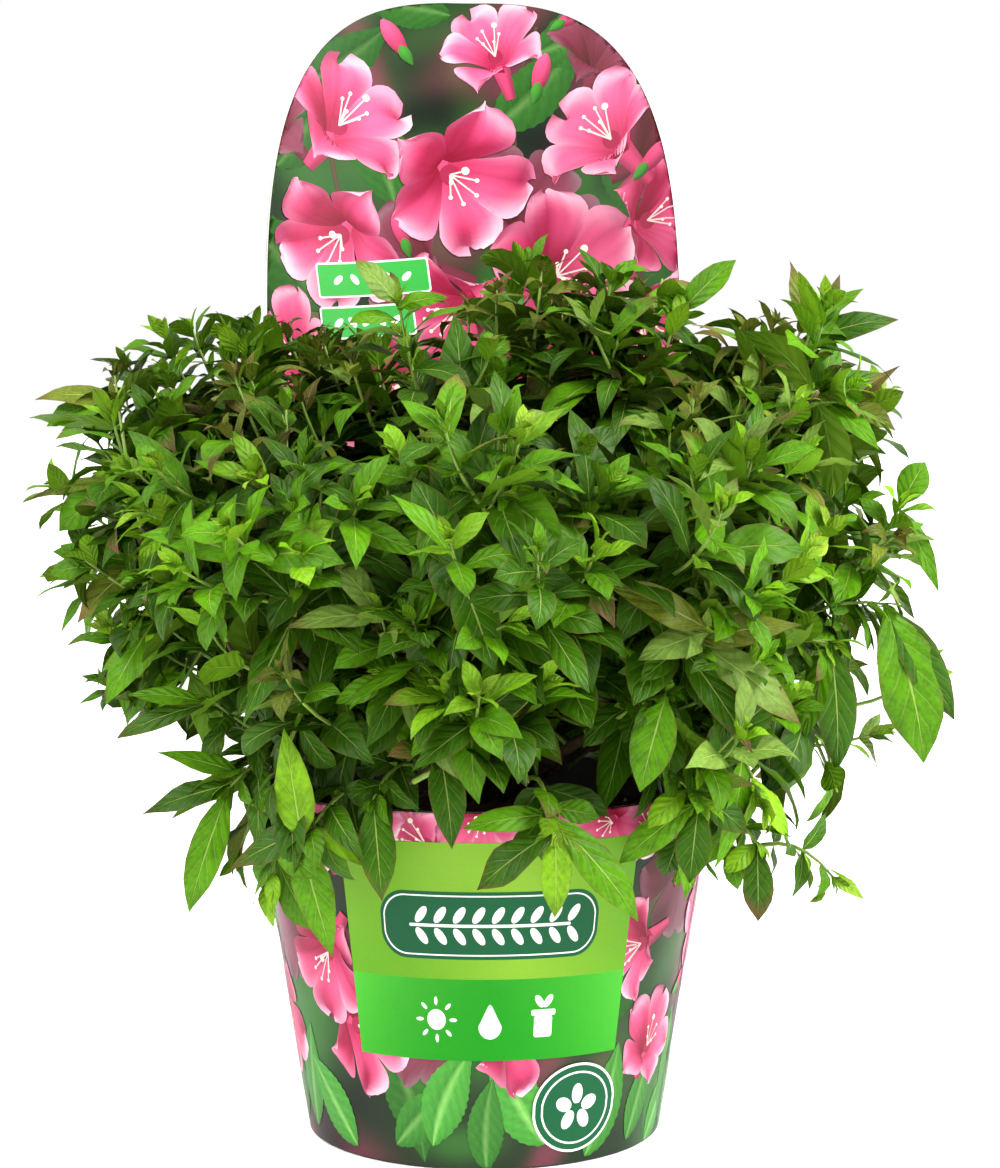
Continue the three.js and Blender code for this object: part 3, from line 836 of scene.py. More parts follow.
def printed_leaf(across, up, length, turn, width, palette, level=0, dim=1.0, bend=0.3):
    """A pointed leaf with a toothed edge and raised veins, drawn as a modelled picture."""
    rows, columns = 27, 9
    out = np.linspace(0, 1, rows)[:, None]
    side = np.linspace(-1, 1, columns)[None, :]
    shape = np.sin(math.pi * out ** 0.85) ** 0.9 * (1 - 0.25 * out ** 4) + 0.012
    teeth = 1 + 0.035 * np.where(np.arange(rows) % 2, 1, -1)[:, None] * np.abs(side) ** 6
    half = width / 2 * shape * teeth
    heading = turn + bend * (out - 0.3)
    step = length / (rows - 1)
    spine = np.concatenate([np.zeros((1, 2)), np.cumsum(
        step * np.concatenate([np.cos(heading[1:]), np.sin(heading[1:])], 1), 0)])
    normal = np.stack([-np.sin(heading[:, 0]), np.cos(heading[:, 0])], -1)[:, None, :]
    flat = spine[:, None, :] + normal * (half * side)[..., None] + np.array([across, up])
    veins = np.cos(math.tau * (7 * out - 2.1 * np.abs(side)))
    depth = half * (0.35 * np.abs(side) ** 0.7 - 0.25 * side ** 2) + 0.012 * width * veins
    points = np.concatenate([flat, depth[..., None]], -1)
    leaf = np.array(palette["foliage"])
    tones = blend(leaf * 0.8, leaf * 1.25, 0.5 + 0.35 * veins * (1 - np.abs(side) ** 3) + 0 * out)
    tones = blend(tones, tone(150, 205, 110), np.where(np.abs(side) < 0.1, 0.7, 0.0) * (1 - 0.5 * out))
    return [grid_motif(points, lit(points, tones, 0.75, GREEN_SHADE) * dim, level * LEVEL)]


def bud(across, up, length, turn, palette, level=0, dim=1.0):
    """A closed pink bud on a green calyx."""
    motifs = []
    for start, size, girth, colours, order in (
        (0.0, 0.42, 0.13, ("foliage", "foliage"), 2),
        (0.12, 0.88, 0.2, ("throat", "petal"), 1),
    ):
        out = np.linspace(0, 1, 9)[:, None]
        side = np.linspace(-1, 1, 7)[None, :]
        half = length * girth * (np.sin(math.pi * np.clip(out, 0.02, 0.985)) ** 0.6) * (0.6 + 0.5 * out)
        along = length * (start + size * out)
        points = np.stack([
            along * math.cos(turn) - half * side * math.sin(turn) + across,
            along * math.sin(turn) + half * side * math.cos(turn) + up,
            np.sqrt(1 - (0.98 * side) ** 2) * half,
        ], -1)
        tones = blend(palette[colours[0]], palette[colours[1]], out + 0 * side)
        motifs.append(grid_motif(points, lit(points, tones, 0.55) * dim, level * LEVEL + order * LAYER))
    return motifs


def stalk(foot, bend, tip, width, colour, level=0):
    """A thin curved stalk, paler along its middle."""
    path = bezier(np.array(foot), np.array(bend), np.array(tip), 16)
    along = unit(np.gradient(path, axis=0))
    normal = np.stack([-along[:, 1], along[:, 0]], -1)[:, None, :]
    side = np.linspace(-1, 1, 4)[None, :, None]
    tones = np.array(colour) * (1.15 - 0.4 * side ** 2) + 0 * path[:, None, :1]
    return [grid_motif(path[:, None, :] + normal * side * width / 2, tones, level * LEVEL)]


def stick(name, motifs, place, finish):
    """Lays motifs on the card; place turns (x, y, lift) into points."""
    points, faces, tints = [], [], []
    start = 0
    for places, tones, triangles, lift in motifs:
        points.append(place(places[:, 0], places[:, 1], 0.03 + lift))
        corner = places[triangles]
        turn = np.cross(corner[:, 1] - corner[:, 0], corner[:, 2] - corner[:, 0])
        faces.append(np.where(turn[:, None] < 0, triangles[:, ::-1], triangles) + start)
        tints.append(tones)
        start += len(places)
    write_piece(name, np.concatenate(points), np.concatenate(faces), finish, "wrap",
                tints=np.clip(np.concatenate(tints), 0, 1))


def kept_on_panel(across, up, margin=0.08):
    """Moves places that pass the panel's outline back to it."""
    up = np.clip(up, 2.0, PANEL_RISE - margin)
    climb = np.clip((up - PANEL_SHOULDER) / (PANEL_RISE - PANEL_SHOULDER), 0, 1)
    wide = np.abs(across) / PANEL_HALF_WIDTH
    past = (wide ** PANEL_POWER + climb ** PANEL_POWER) ** (1 / PANEL_POWER)
    scale = np.where((climb > 0) & (past > 0.9985), 0.9985 / np.maximum(past, 1e-6), 1.0)
    up = np.where(climb > 0, PANEL_SHOULDER + (up - PANEL_SHOULDER) * scale, up)
    across = across * scale
    limit = panel_half_width(up) - margin
    return np.clip(across, -limit, limit), up


def panel_front(across, up, lift):
    across, up = kept_on_panel(across, up)
    return on_panel(across, up, -CARD - lift)


def panel_back(across, up, lift):
    """Places are given as seen from behind, so across runs the other way."""
    across, up = kept_on_panel(-across, up)
    return on_panel(across, up, lift)


def band_face(along, z, lift):
    z = np.clip(z, WRAP_FOOT + 0.4, WRAP_RIM - 0.4)
    return on_band(along / WRAP_RIM_RADIUS, z, lift)


def panel_picture(palette, rng):
    """Blossoms, buds and leaves of the panel's front."""
    motifs = []
    for across, up, length, turn, width, level, dim in (
        (28, 318, 78, 0.35, 32, 0, 0.5), (-66, 196, 74, 2.5, 32, 0, 0.42), (6, 214, 80, -0.5, 34, 0, 0.6),
        (92, 232, 64, 2.1, 28, 0, 0.42), (-34, 246, 66, 1.9, 28, 0, 0.5), (-96, 258, 56, 0.9, 24, 0, 0.4),
        (58, 148, 72, 0.4, 30, 0, 0.5), (-24, 130, 66, 2.8, 28, 0, 0.42), (10, 284, 60, 0.7, 26, 0, 0.48),
        (-78, 300, 52, 0.6, 22, 0, 0.38), (100, 292, 50, 2.7, 22, 0, 0.36), (-8, 338, 44, 3.0, 20, 0, 0.45),
    ):
        motifs += printed_leaf(across, up, length, turn, width, palette, level, dim)
    brown = palette["twig"]
    for foot, bend, tip, width in (
        ((-30, 170), (-60, 230), (-66, 268), 2.2), ((10, 150), (26, 220), (12, 262), 2.4),
        ((60, 160), (92, 210), (84, 262), 2.0), ((24, 250), (16, 300), (32, 332), 1.6),
    ):
        motifs += stalk(foot, bend, tip, width, brown)
    for across, up, reach, spin, lean, toward in (
        (-100, 284, 30, 0.5, 0.7, 2.4), (30, 252, 34, 0.9, 0.8, 1.0), (96, 270, 30, 0.2, 0.8, 0.4),
        (-34, 222, 32, 0.7, 0.9, 2.9), (64, 322, 26, 0.3, 0.9, 1.2), (10, 168, 36, 0.1, 0.6, 0.0),
    ):
        motifs += blossom(across, up, reach, spin, lean, toward, palette, rng, 0, 0.2, 1.0, 0.5, 0.45)
    # The last column, dim, darkens the blossoms low on the panel as painted shade from the crown.
    for across, up, reach, spin, lean, toward, level, pale, dim in (
        (-56, 290, 34, 0.3, 0.8, 0.9, 1, 0.6, 1.0), (-4, 258, 37, 1.2, 0.5, -0.8, 3, 0.9, 1.0),
        (60, 284, 33, 0.1, 0.95, 2.3, 2, 0.5, 0.98), (-66, 226, 35, 0.9, 0.55, -2.2, 3, 0.9, 1.0),
        (46, 218, 38, 0.5, 0.45, 0.5, 3, 0.7, 1.0), (94, 238, 30, 0.2, 0.85, 0.2, 1, 0.3, 0.9),
        (86, 184, 34, 1.0, 0.7, -1.2, 2, 0.8, 1.0), (-14, 196, 32, 0.6, 0.9, -2.6, 2, 0.6, 0.95),
        (-94, 176, 30, 0.2, 0.6, 2.6, 2, 0.6, 0.95), (10, 326, 26, 0.8, 0.85, 1.9, 1, 0.8, 0.95),
        (-42, 160, 33, 0.4, 0.6, -1.0, 2, 0.6, 0.8), (44, 160, 34, 0.7, 0.5, -2.0, 2, 0.5, 0.8),
        (-80, 122, 31, 0.2, 0.5, 2.4, 1, 0.4, 0.6), (10, 120, 33, 1.1, 0.6, 0.4, 2, 0.4, 0.6),
        (82, 124, 31, 0.6, 0.5, 0.3, 1, 0.4, 0.6), (-30, 74, 30, 0.2, 0.5, 1.4, 1, 0.4, 0.5),
        (50, 76, 31, 0.9, 0.6, 2.0, 1, 0.4, 0.5),
    ):
        motifs += blossom(across, up, reach, spin, lean, toward, palette, rng, level, pale, 1.0, dim)
    for across, up, length, turn, level in (
        (-98, 246, 26, 2.0, 2), (30, 296, 24, 1.3, 2), (-26, 314, 25, 2.2, 2),
        (78, 256, 24, 0.7, 3), (-28, 224, 22, 1.9, 2), (38, 330, 20, 0.5, 2),
    ):
        motifs += bud(across, up, length, turn, palette, level)
    return motifs


def back_picture(palette, rng):
    """A thinner spray of the same motifs on the panel's back."""
    motifs = []
    for row in range(5):
        for column in range(3):
            across = (column - 1) * 62 + (row % 2 - 0.5) * 34 + rng.uniform(-8, 8)
            up = 50 + row * 62 + rng.uniform(-9, 9)
            length, turn = rng.uniform(44, 62), rng.uniform(0, math.tau)
            if row == 0:  # upwards, clear of the join
                turn = turn % math.pi
            motifs += printed_leaf(across + 14, up - 12, length, turn, 22, palette, 0, 0.7)
            motifs += blossom(across, up, rng.uniform(23, 30), rng.uniform(0, 1.2), rng.uniform(0.3, 0.8),
                              rng.uniform(0, math.tau), palette, rng, 1 + (row + column) % 2, 0.5, 1.0, 0.95)
    return motifs


def band_picture(palette, rng):
    """Blossoms round the band, over a skirt of leaves at its foot."""
    motifs = []
    for index in range(15):
        along = -288 + index * 40 + rng.uniform(-8, 8)
        height, length = rng.uniform(40, 90), rng.uniform(50, 70)
        height = under_join(along, height, 0.8 * length)
        motifs += printed_leaf(along, height, length, rng.uniform(0, math.tau), 26, palette,
                               FAR_LEAF_STEP * (index % 2), rng.uniform(0.35, 0.55), rng.uniform(-0.5, 0.5))
        height, reach = rng.uniform(50, 120), rng.uniform(24, 32)
        height = under_join(along + 18, height, reach)
        motifs += blossom(along + 18, height, reach, rng.uniform(0, 1.2), 0.8, rng.uniform(0, math.tau),
                          palette, rng, FAR_BLOOM, 0.3, 1.0, 0.45, 0.5)
    for index in range(23):
        along = -290 + index * 26 + rng.uniform(-7, 7)
        turn = math.pi / 2 + rng.uniform(-0.9, 0.9)
        length = rng.uniform(36, 58)
        level = FOOT_LEAF + FOOT_LEAF_STEP * (index % 3)
        motifs += printed_leaf(along, rng.uniform(-4, 10), length, turn, length * 0.46, palette, level,
                               rng.uniform(0.45, 1.15), rng.uniform(-0.6, 0.6))
    for index in range(24):
        along = -292 + index * 25.2 + rng.uniform(-6, 6)
        height = (50, 124, 86)[index % 3] + rng.uniform(-8, 8)
        reach = rng.uniform(22, 31)
        height = under_join(along, height, reach)
        level = NEAR_BLOOM + NEAR_BLOOM_STEP * (index % 3)
        motifs += blossom(along, height, reach, rng.uniform(0, 1.2), rng.uniform(0.4, 1.0),
                          rng.uniform(0, math.tau), palette, rng, level, rng.uniform(0.4, 1.0), 1.0,
                          rng.uniform(0.82, 1.0))
    for index in range(7):
        level = NEAR_BLOOM + NEAR_BLOOM_STEP * (1 + index % 2)
        motifs += blossom(-78 + index * 24 + rng.uniform(-4, 4), 139 + rng.uniform(-5, 5), rng.uniform(17, 23),
                          rng.uniform(0, 1.2), rng.uniform(0.3, 0.8), rng.uniform(0, math.tau), palette, rng,
                          level, 1.0, 1.0, 1.0)
    for index in range(9):
        motifs += bud(-270 + index * 62 + rng.uniform(-12, 12), rng.uniform(50, 110), 20,
                      rng.uniform(0, math.tau), palette, NEAR_BLOOM + NEAR_BLOOM_STEP)
    return motifs


def plate(left, right, low, high, colour_at, lift, tilt=0.0, rows=7, columns=25):
    """A plain rectangle whose colour is a function of its own two shares."""
    x = np.linspace(left, right, columns)[None, :]
    y = np.linspace(low, high, rows)[:, None]
    slope = tilt * (x - (left + right) / 2)
    points = np.stack([x + 0 * y, y + slope, 0 * x * y], -1)
    across = (x - left) / (right - left) + 0 * y
    up = (y - low) / (high - low) + 0 * x
    return grid_motif(points, colour_at(across, up), lift)


def label_motifs(wrap):
    """The two-tone label at the front, with a plain plaque and three care signs."""
    lift = 4.6 * LEVEL
    scale = WRAP_RIM_RADIUS
    left, right = math.radians(-39.6) * scale, math.radians(37.0) * scale
    top_green, foot_green = np.array(wrap.label_top), np.array(wrap.label_foot)
    bright = np.array(tone(140, 180, 50))

    def upper(across, up):
        glow = 0.55 * np.exp(-(((across - 0.62) / 0.3) ** 2)) + 0.5 * up * (1 - across)
        streak = 0.06 * np.sin(across * 23) * up
        return blend(top_green, bright, np.clip(glow + streak, 0, 1))

    def lower(across, up):
        glow = np.clip(np.abs(across - 0.5) * 1.3 + 0.25 * up, 0, 1) ** 2
        return blend(foot_green, np.array(tone(80, 188, 48)), glow)

    motifs = [
        plate(left, right, 78.5, 133.0, upper, lift, rows=15, columns=41),
        plate(left, right, 45.5, 78.5, lower, lift, rows=11, columns=41),
    ]
    white = np.array(tone(244, 248, 238))
    dark = np.array(wrap.plaque)
    step = 0.05
    middle = (left + right) / 2
    motifs.append(plate_motif((middle, 100), 47, 13.5, 11, dark, lift + step))
    motifs.append(plate_motif((middle, 100), 45.6, 12.1, 10, white, lift + 2 * step))
    motifs.append(plate_motif((middle, 100), 45.0, 11.5, 9.6, dark, lift + 3 * step))
    motifs.append(plate_motif((middle, 100), 34, 0.6, 0.5, white, lift + 4 * step))
    for index in range(9):
        start = middle - 32 + index * 8
        for side in (-1, 1):
            place = (start + 3.2, 100 + side * 4.3)
            motifs.append(disc_motif(place, 1.75, white, lift + 5 * step, 2.2, side * 0.95))
    # A sun, a drop and a pot, the plain signs for light, water and size.
    sun = (middle - 24, 62)
    motifs.append(disc_motif(sun, 4.2, white, lift + step))
    for index in range(8):
        angle = index * math.tau / 8
        ray = (sun[0] + 7.6 * math.cos(angle), sun[1] + 7.6 * math.sin(angle))
        motifs.append(disc_motif(ray, 0.75, white, lift + step, 2.3, angle))
    drop, colours, faces, height = disc_motif((0, 0), 5.2, white, lift + step)
    climb = np.clip(drop[:, 1] / 5.2, 0, 1)
    drop = drop * np.stack([1 - 0.55 * climb, 1 + 0.7 * climb], -1)
    motifs.append((drop + np.array([middle, 59.5]), colours, faces, height))
    motifs.append(plate_motif((middle + 24, 59), 4.2, 4.4, 1.2, white, lift + step))
    motifs.append(plate_motif((middle + 24, 64.6), 5.6, 1.2, 0.8, white, lift + step))
    motifs.append(disc_motif((middle + 22, 69.2), 1.5, white, lift + step, 2.0, 2.2))
    motifs.append(disc_motif((middle + 26, 69.2), 1.5, white, lift + step, 2.0, 0.95))
    return motifs


def spot_motifs(wrap):
    """The round spot near the foot: rings of dark green and white round a plain blossom."""
    centre = (math.radians(25.0) * WRAP_RIM_RADIUS, 24.0)
    lift = 5.6 * LEVEL
    white, dark = np.array(tone(246, 248, 242)), np.array(wrap.plaque)
    widen = WRAP_RIM_RADIUS / wrap_radius(24.0)
    motifs = []
    for order, (reach, colour) in enumerate(((18.4, white), (17.4, dark), (15.0, white), (14.2, dark))):
        motifs.append(disc_motif(centre, reach, colour, lift + 0.04 * order, widen))
    for index in range(5):
        angle = math.pi / 2 + index * math.tau / 5
        petal = (centre[0] + 5.8 * math.cos(angle) * widen, centre[1] + 5.8 * math.sin(angle))
        motifs.append(disc_motif(petal, 2.9, white, lift + 0.18, 1.45, angle))
    motifs.append(disc_motif(centre, 1.9, dark, lift + 0.22, widen))
    return motifs


def tag_motifs(wrap):
    """Two small plain tags low on the panel, each with a white edge."""
    motifs = []
    white = np.array(tone(240, 244, 236))
    for across, up, half, tall, tilt in ((-46.5, 213.0, 28.0, 8.1, 0.13), (-49.0, 193.0, 23.6, 7.5, 0.13)):
        lift = 4.4 * LEVEL
        motifs.append(plate_motif((across, up), half, tall, 1.6, white, lift, tilt))
        motifs.append(plate_motif((across, up), half - 0.9, tall - 0.9, 1.1, wrap.tag[:], lift + 0.05, tilt))
        for index in range(5):
            step = (index - 2) * half * 0.3
            place = (across + step, up + tilt * step)
            motifs.append(disc_motif(place, 1.5, white, lift + 0.1, 1.9, 0.8 * (-1) ** index))
    return motifs


def seam_shadow_motifs():
    """A dark strip painted where the wrap's end tucks under its edge, with its notch: painted shadow of the
    overlapping edge.
    """
    dark = np.array(tone(26, 22, 24))
    foot, rim = math.radians(70.5) * WRAP_RIM_RADIUS, math.radians(74.5) * WRAP_RIM_RADIUS
    height = np.linspace(2, 144, 36)[:, None]
    notch = 1.8 * np.exp(-(((height - 34) / 3.0) ** 2))
    line = foot + (rim - foot) * height / WRAP_RIM
    points = np.concatenate([line - 0.8 - notch, line + 0.8], 1)
    points = np.stack([points, np.broadcast_to(height, points.shape)], -1)
    return [grid_motif(points, np.tile(dark, (36, 2, 1)), 4.4 * LEVEL)]


class WEIGELA_OT_wrap(bpy.types.Operator):
    """Build the printed card band round the pot and the arched panel behind the plant"""

    bl_idname = "weigela.wrap"
    bl_label = "Printed Wrap"

    def execute(self, context):
        wrap = context.scene.weigela_wrap
        finish = print_finish("printed_card")
        palette = {
            "ground": wrap.ground[:], "petal": wrap.petal[:], "petal_edge": wrap.petal_edge[:],
            "throat": wrap.throat[:], "foliage": wrap.foliage[:],
            "shadow": tone(12, 18, 12), "haze": tone(58, 92, 46), "blur": tone(150, 60, 90),
            "twig": tone(84, 62, 46),
        }
        make_band(finish, wrap.card[:], palette)
        make_panel(finish, wrap.card[:], palette)
        rng = np.random.default_rng(4)
        stick("print_panel_front", panel_picture(palette, rng), panel_front, finish)
        stick("print_panel_back", back_picture(palette, rng), panel_back, finish)
        stick("print_band", band_picture(palette, rng), band_face, finish)
        stick("label", label_motifs(wrap), band_face, finish)
        stick("round_spot", spot_motifs(wrap), band_face, finish)
        stick("tags", tag_motifs(wrap), panel_front, finish)
        # The dark seam strip is painted shadow of the wrap's overlapping edge.
        stick("wrap_seam_shadow", seam_shadow_motifs(), band_face, finish)
        return {"FINISHED"}


# ---- Stool, boughs and twigs -----------------------------------------------
def bezier(foot, bend, goal, steps):
    share = np.linspace(0, 1, steps)[:, None]
    return foot * (1 - share) ** 2 + bend * 2 * share * (1 - share) + goal * share ** 2


def ring_frames(path):
    """Tangents and two crosswise vectors along a path, without twist."""
    tangent = unit(np.gradient(path, axis=0))
    aside = np.zeros_like(path)
    start = np.cross(tangent[0], [0.0, 0.0, 1.0])
    if np.linalg.norm(start) < 0.1:
        start = np.cross(tangent[0], [1.0, 0.0, 0.0])
    aside[0] = unit(start)
    for i in range(1, len(path)):
        aside[i] = unit(aside[i - 1] - tangent[i] * np.dot(aside[i - 1], tangent[i]))
    return tangent, aside, np.cross(tangent, aside)


def tube(path, radii, sides, relief=None):
    """A closed round limb along a path; relief gives the swell at each point."""
    tangent, aside, across = ring_frames(path)
    angle = np.linspace(0, math.tau, sides, endpoint=False)[None, :, None]
    out = np.cos(angle) * aside[:, None, :] + np.sin(angle) * across[:, None, :]
    points = path[:, None, :] + out * np.asarray(radii)[:, None, None]
    if relief is not None:
        points = points + out * relief(points)[..., None]
    rows = len(path)
    faces = sheet_faces(rows, sides, joined=True)
    tip = rows * sides
    step = np.arange(sides)
    after = (step + 1) % sides
    last = (rows - 1) * sides
    top = np.stack([last + step, last + after, np.full(sides, tip)], -1)
    foot = np.stack([after, step, np.full(sides, tip + 1)], -1)
    ends = np.stack([path[-1] + tangent[-1] * radii[-1] * 0.6, path[0] - tangent[0] * radii[0] * 0.3])
    return np.concatenate([points.reshape(-1, 3), ends]), np.concatenate([faces, top, foot])


def bark_relief(depth):
    """Long furrows and knots in the bark, at each point of a tube."""
    def relief(points):
        flat = points.reshape(-1, 3)
        swell = [
            noise.noise(Vector((x * 0.55, y * 0.55, z * 0.16)))
            + 0.5 * noise.noise(Vector((x, y, z * 0.4 + 7.0)))
            for x, y, z in flat
        ]
        return depth * np.array(swell).reshape(points.shape[:2])
    return relief


def bough_path(name, steps):
    azimuth, reach, z = BOUGHS[name]
    below, spread, outward = WHORLS[name.split("_")[0]]
    goal = around(azimuth, reach, z)
    foot = around(azimuth, spread, STOOL_FOOT + STOOL_HEIGHT - below)
    foot[0] += STOOL_LEAN * (foot[2] - STOOL_FOOT) / STOOL_HEIGHT
    bend = around(azimuth, reach * outward, foot[2] + (z - foot[2]) * BEND_HEIGHT)
    return bezier(foot, bend, goal, steps)


class WEIGELA_OT_limbs(bpy.types.Operator):
    """Build the stool and the boughs with the relief of their bark"""

    bl_idname = "weigela.limbs"
    bl_label = "Stool and Boughs"

    def execute(self, context):
        plant = context.scene.weigela_plant
        bark = mottled_finish("fissured_bark", plant.bark, plant.bark_dark, 160.0, 900.0, (0.75, 0.95), 0.5)
        profile = np.array(STOOL_PROFILE)
        climb = np.linspace(0, 0.96, 34)
        radii = np.interp(climb, profile[:, 1], profile[:, 0])
        path = np.stack([STOOL_LEAN * climb, 0 * climb, STOOL_FOOT + STOOL_HEIGHT * climb], -1)
        points, faces = tube(path, radii, 40, bark_relief(0.9))
        points[:, 2] = np.maximum(points[:, 2], STOOL_FOOT)
        write_piece("stool_bark", points, faces, bark, "bark", ["main_stem"])
        for name in BOUGHS:
            path = bough_path(name, 44)
            radii = np.linspace(BOUGH_FOOT_RADIUS, BOUGH_TIP_RADIUS, len(path))
            points, faces = tube(path, radii, 12, bark_relief(0.38))
            write_piece("limb_" + name, points, faces, bark, "bark", ["bough_" + name])
        return {"FINISHED"}


# ---- Shoots and leaves -----------------------------------------------------
UP = np.array([0.0, 0.0, 1.0])
CROWN_HEART = np.array([4.0, -14.0, 178.0])
LEAF_OVERHANG = 5.0  # how far leaves usually reach past the masses
LEAF_TESTS = (0.5, 0.95)  # where along a leaf its place is tested
KINDS = ("lime", "fresh", "mid", "dark", "dusky", "olive", "bronze")
PALETTES = {  # leaf kinds from the shoot's tip down to its foot
    "fresh": ("lime", "lime", "fresh", "fresh", "mid", "mid", "dark"),
    "green": ("lime", "fresh", "fresh", "mid", "mid", "dark", "dark"),
    "deep": ("fresh", "mid", "mid", "dark", "dark", "dark", "dark"),
    "inner": ("mid", "mid", "mid", "dark", "mid", "dark", "mid"),
    "dusky": ("lime", "fresh", "dusky", "dusky", "mid", "dark", "dark"),
    "olive": ("olive", "bronze", "olive", "olive", "dusky", "mid", "dark"),
    "bronze": ("bronze", "olive", "bronze", "bronze", "olive", "olive", "dark"),
}
# Leaf pairs from the tip down: distance from the tip, size, and angle off the stem.
LEAF_PAIRS = (
    (0.0, 0.24, 10), (2.0, 0.38, 20), (5.0, 0.55, 34), (11.0, 0.74, 46), (20.0, 0.90, 54),
    (31.0, 1.00, 60), (43.0, 1.02, 64), (56.0, 0.94, 68),
)
AXIL_RANK = 4  # from this pair down, small leaves sprout where a leaf meets the stem
LEAF_ROWS = np.array([0.0, 0.07, 0.17, 0.30, 0.45, 0.60, 0.74, 0.86, 0.94, 1.0])
LEAF_SIDES = np.array([-1.0, -0.5, 0.0, 0.5, 1.0])
LEAF_SHAPES = np.array([  # half-width at each row, as a share of the widest
    (0.08, 0.18, 0.56, 0.87, 1.00, 0.96, 0.76, 0.43, 0.18, 0.02),
    (0.08, 0.13, 0.40, 0.72, 0.94, 1.00, 0.86, 0.52, 0.21, 0.02),
    (0.08, 0.28, 0.74, 0.97, 0.99, 0.85, 0.60, 0.32, 0.13, 0.02),
    (0.08, 0.24, 0.66, 0.94, 1.00, 0.80, 0.50, 0.23, 0.10, 0.02),
])
NARROW_TIP = 3  # the last shape, with a long narrow tip
DRY_KINDS = ("bronze", "olive")
SUNNY_SIDE = 0.24  # how much lighter the leaves on the right are painted, as painted sunlight


class Foliage:
    """Collects leaves, as rows of numbers, until they are written by kind."""

    def __init__(self):
        self.rows = {kind: [] for kind in KINDS}

    def add(self, kind, base, forward, normal, *habit):
        """habit is length, width, curl, fold, twist, outline, shade, drought and ripple."""
        self.rows[kind].append((*base, *forward, *normal, *habit))

    def write(self, finishes, replaced):
        one = sheet_quads(len(LEAF_ROWS), len(LEAF_SIDES))
        for kind in KINDS:
            points, uvs, values = leaf_sheets(np.array(self.rows[kind]))
            starts = np.arange(len(self.rows[kind])) * points.shape[1]
            faces = (one[None] + starts[:, None, None]).reshape(-1, 4)
            write_piece("leaves_" + kind + "_spray", points.reshape(-1, 3), faces, finishes[kind], "leaf",
                        replaced, uvs=uvs, values=values)


def leaf_sheets(table):
    """Points, map, shade and drought of many leaves at once, from their rows of numbers."""
    base, forward, normal = table[:, 0:3], unit(table[:, 3:6]), table[:, 6:9]
    length, width, curl, fold, twist = (table[:, i][:, None] for i in range(9, 14))
    outline, shade, drought, ripple = table[:, 14].astype(int), table[:, 15], table[:, 16], table[:, 17]
    normal = unit(normal - forward * (normal * forward).sum(1, keepdims=True))
    side = np.cross(forward, normal)
    t = LEAF_ROWS[None, :]
    bend = -curl * (0.25 * t + 0.75 * t ** 2.2)
    middle = (bend[:, 1:] + bend[:, :-1]) / 2
    step = np.diff(LEAF_ROWS)[None, :] * length
    ahead = np.concatenate([np.zeros_like(length), np.cumsum(np.cos(middle) * step, 1)], 1)
    rise = np.concatenate([np.zeros_like(length), np.cumsum(np.sin(middle) * step, 1)], 1)
    spine = base[:, None] + forward[:, None] * ahead[..., None] + normal[:, None] * rise[..., None]
    lean = np.cos(bend)[..., None] * normal[:, None] - np.sin(bend)[..., None] * forward[:, None]
    roll = (twist * t)[..., None]
    out = np.cos(roll) * side[:, None] + np.sin(roll) * lean
    lean = np.cos(roll) * lean - np.sin(roll) * side[:, None]
    half = LEAF_SHAPES[outline] * width / 2
    u = LEAF_SIDES[None, None, :]
    wave = 0.17 * np.sin(9.0 * t[..., None] + 2.4 * np.sign(u) + ripple[:, None, None]) * u ** 2
    lift = half[..., None] * (fold[..., None] * np.abs(u) - 0.32 * u ** 2 + wave)
    sideways = (half[..., None] * u)[..., None]
    points = spine[:, :, None] + out[:, :, None] * sideways + lean[:, :, None] * lift[..., None]
    points = points.reshape(len(table), -1, 3)
    along = np.repeat(LEAF_ROWS, len(LEAF_SIDES))
    across = np.tile((LEAF_SIDES + 1) / 2, len(LEAF_ROWS))
    uvs = np.tile(np.stack([across, along], -1), (len(table), 1))
    values = {"shade": np.repeat(shade, points.shape[1]), "drought": np.repeat(drought, points.shape[1])}
    return points, uvs, values


def clear_of_wrap(points):
    """True where every point keeps outside the band and in front of the panel."""
    points = np.atleast_2d(points)
    reach = np.hypot(points[:, 0], points[:, 1])
    radius = wrap_radius(points[:, 2])
    in_band = (points[:, 2] < WRAP_RIM + 2) & (reach < radius + 2)
    half = np.interp(points[:, 2], (145, 300, 400, 480), (96, 103, 98, 40))
    in_panel = (points[:, 1] > 0) & (reach > radius - 3.5) & (np.abs(points[:, 0]) < half)
    return not (in_band | in_panel).any()


def in_opening(point):
    """True where a place lies in one of the openings that the crown leaves."""
    return any((((point - centre) / np.array(reach)) ** 2).sum() < 1 for centre, reach in OPENINGS)


def steer_clear(point, forward, length):
    """Turns a leaf away from the wrap; gives its heading, or None where nothing helps."""
    reach = length * np.array(LEAF_TESTS)[:, None]
    if clear_of_wrap(point + forward * reach):
        return forward
    away = unit([point[0], point[1], 0.0]) if point[1] < 30 else np.array([0.0, -1.0, 0.2])
    forward = unit(forward + 1.1 * away)
    return forward if clear_of_wrap(point + forward * reach) else None


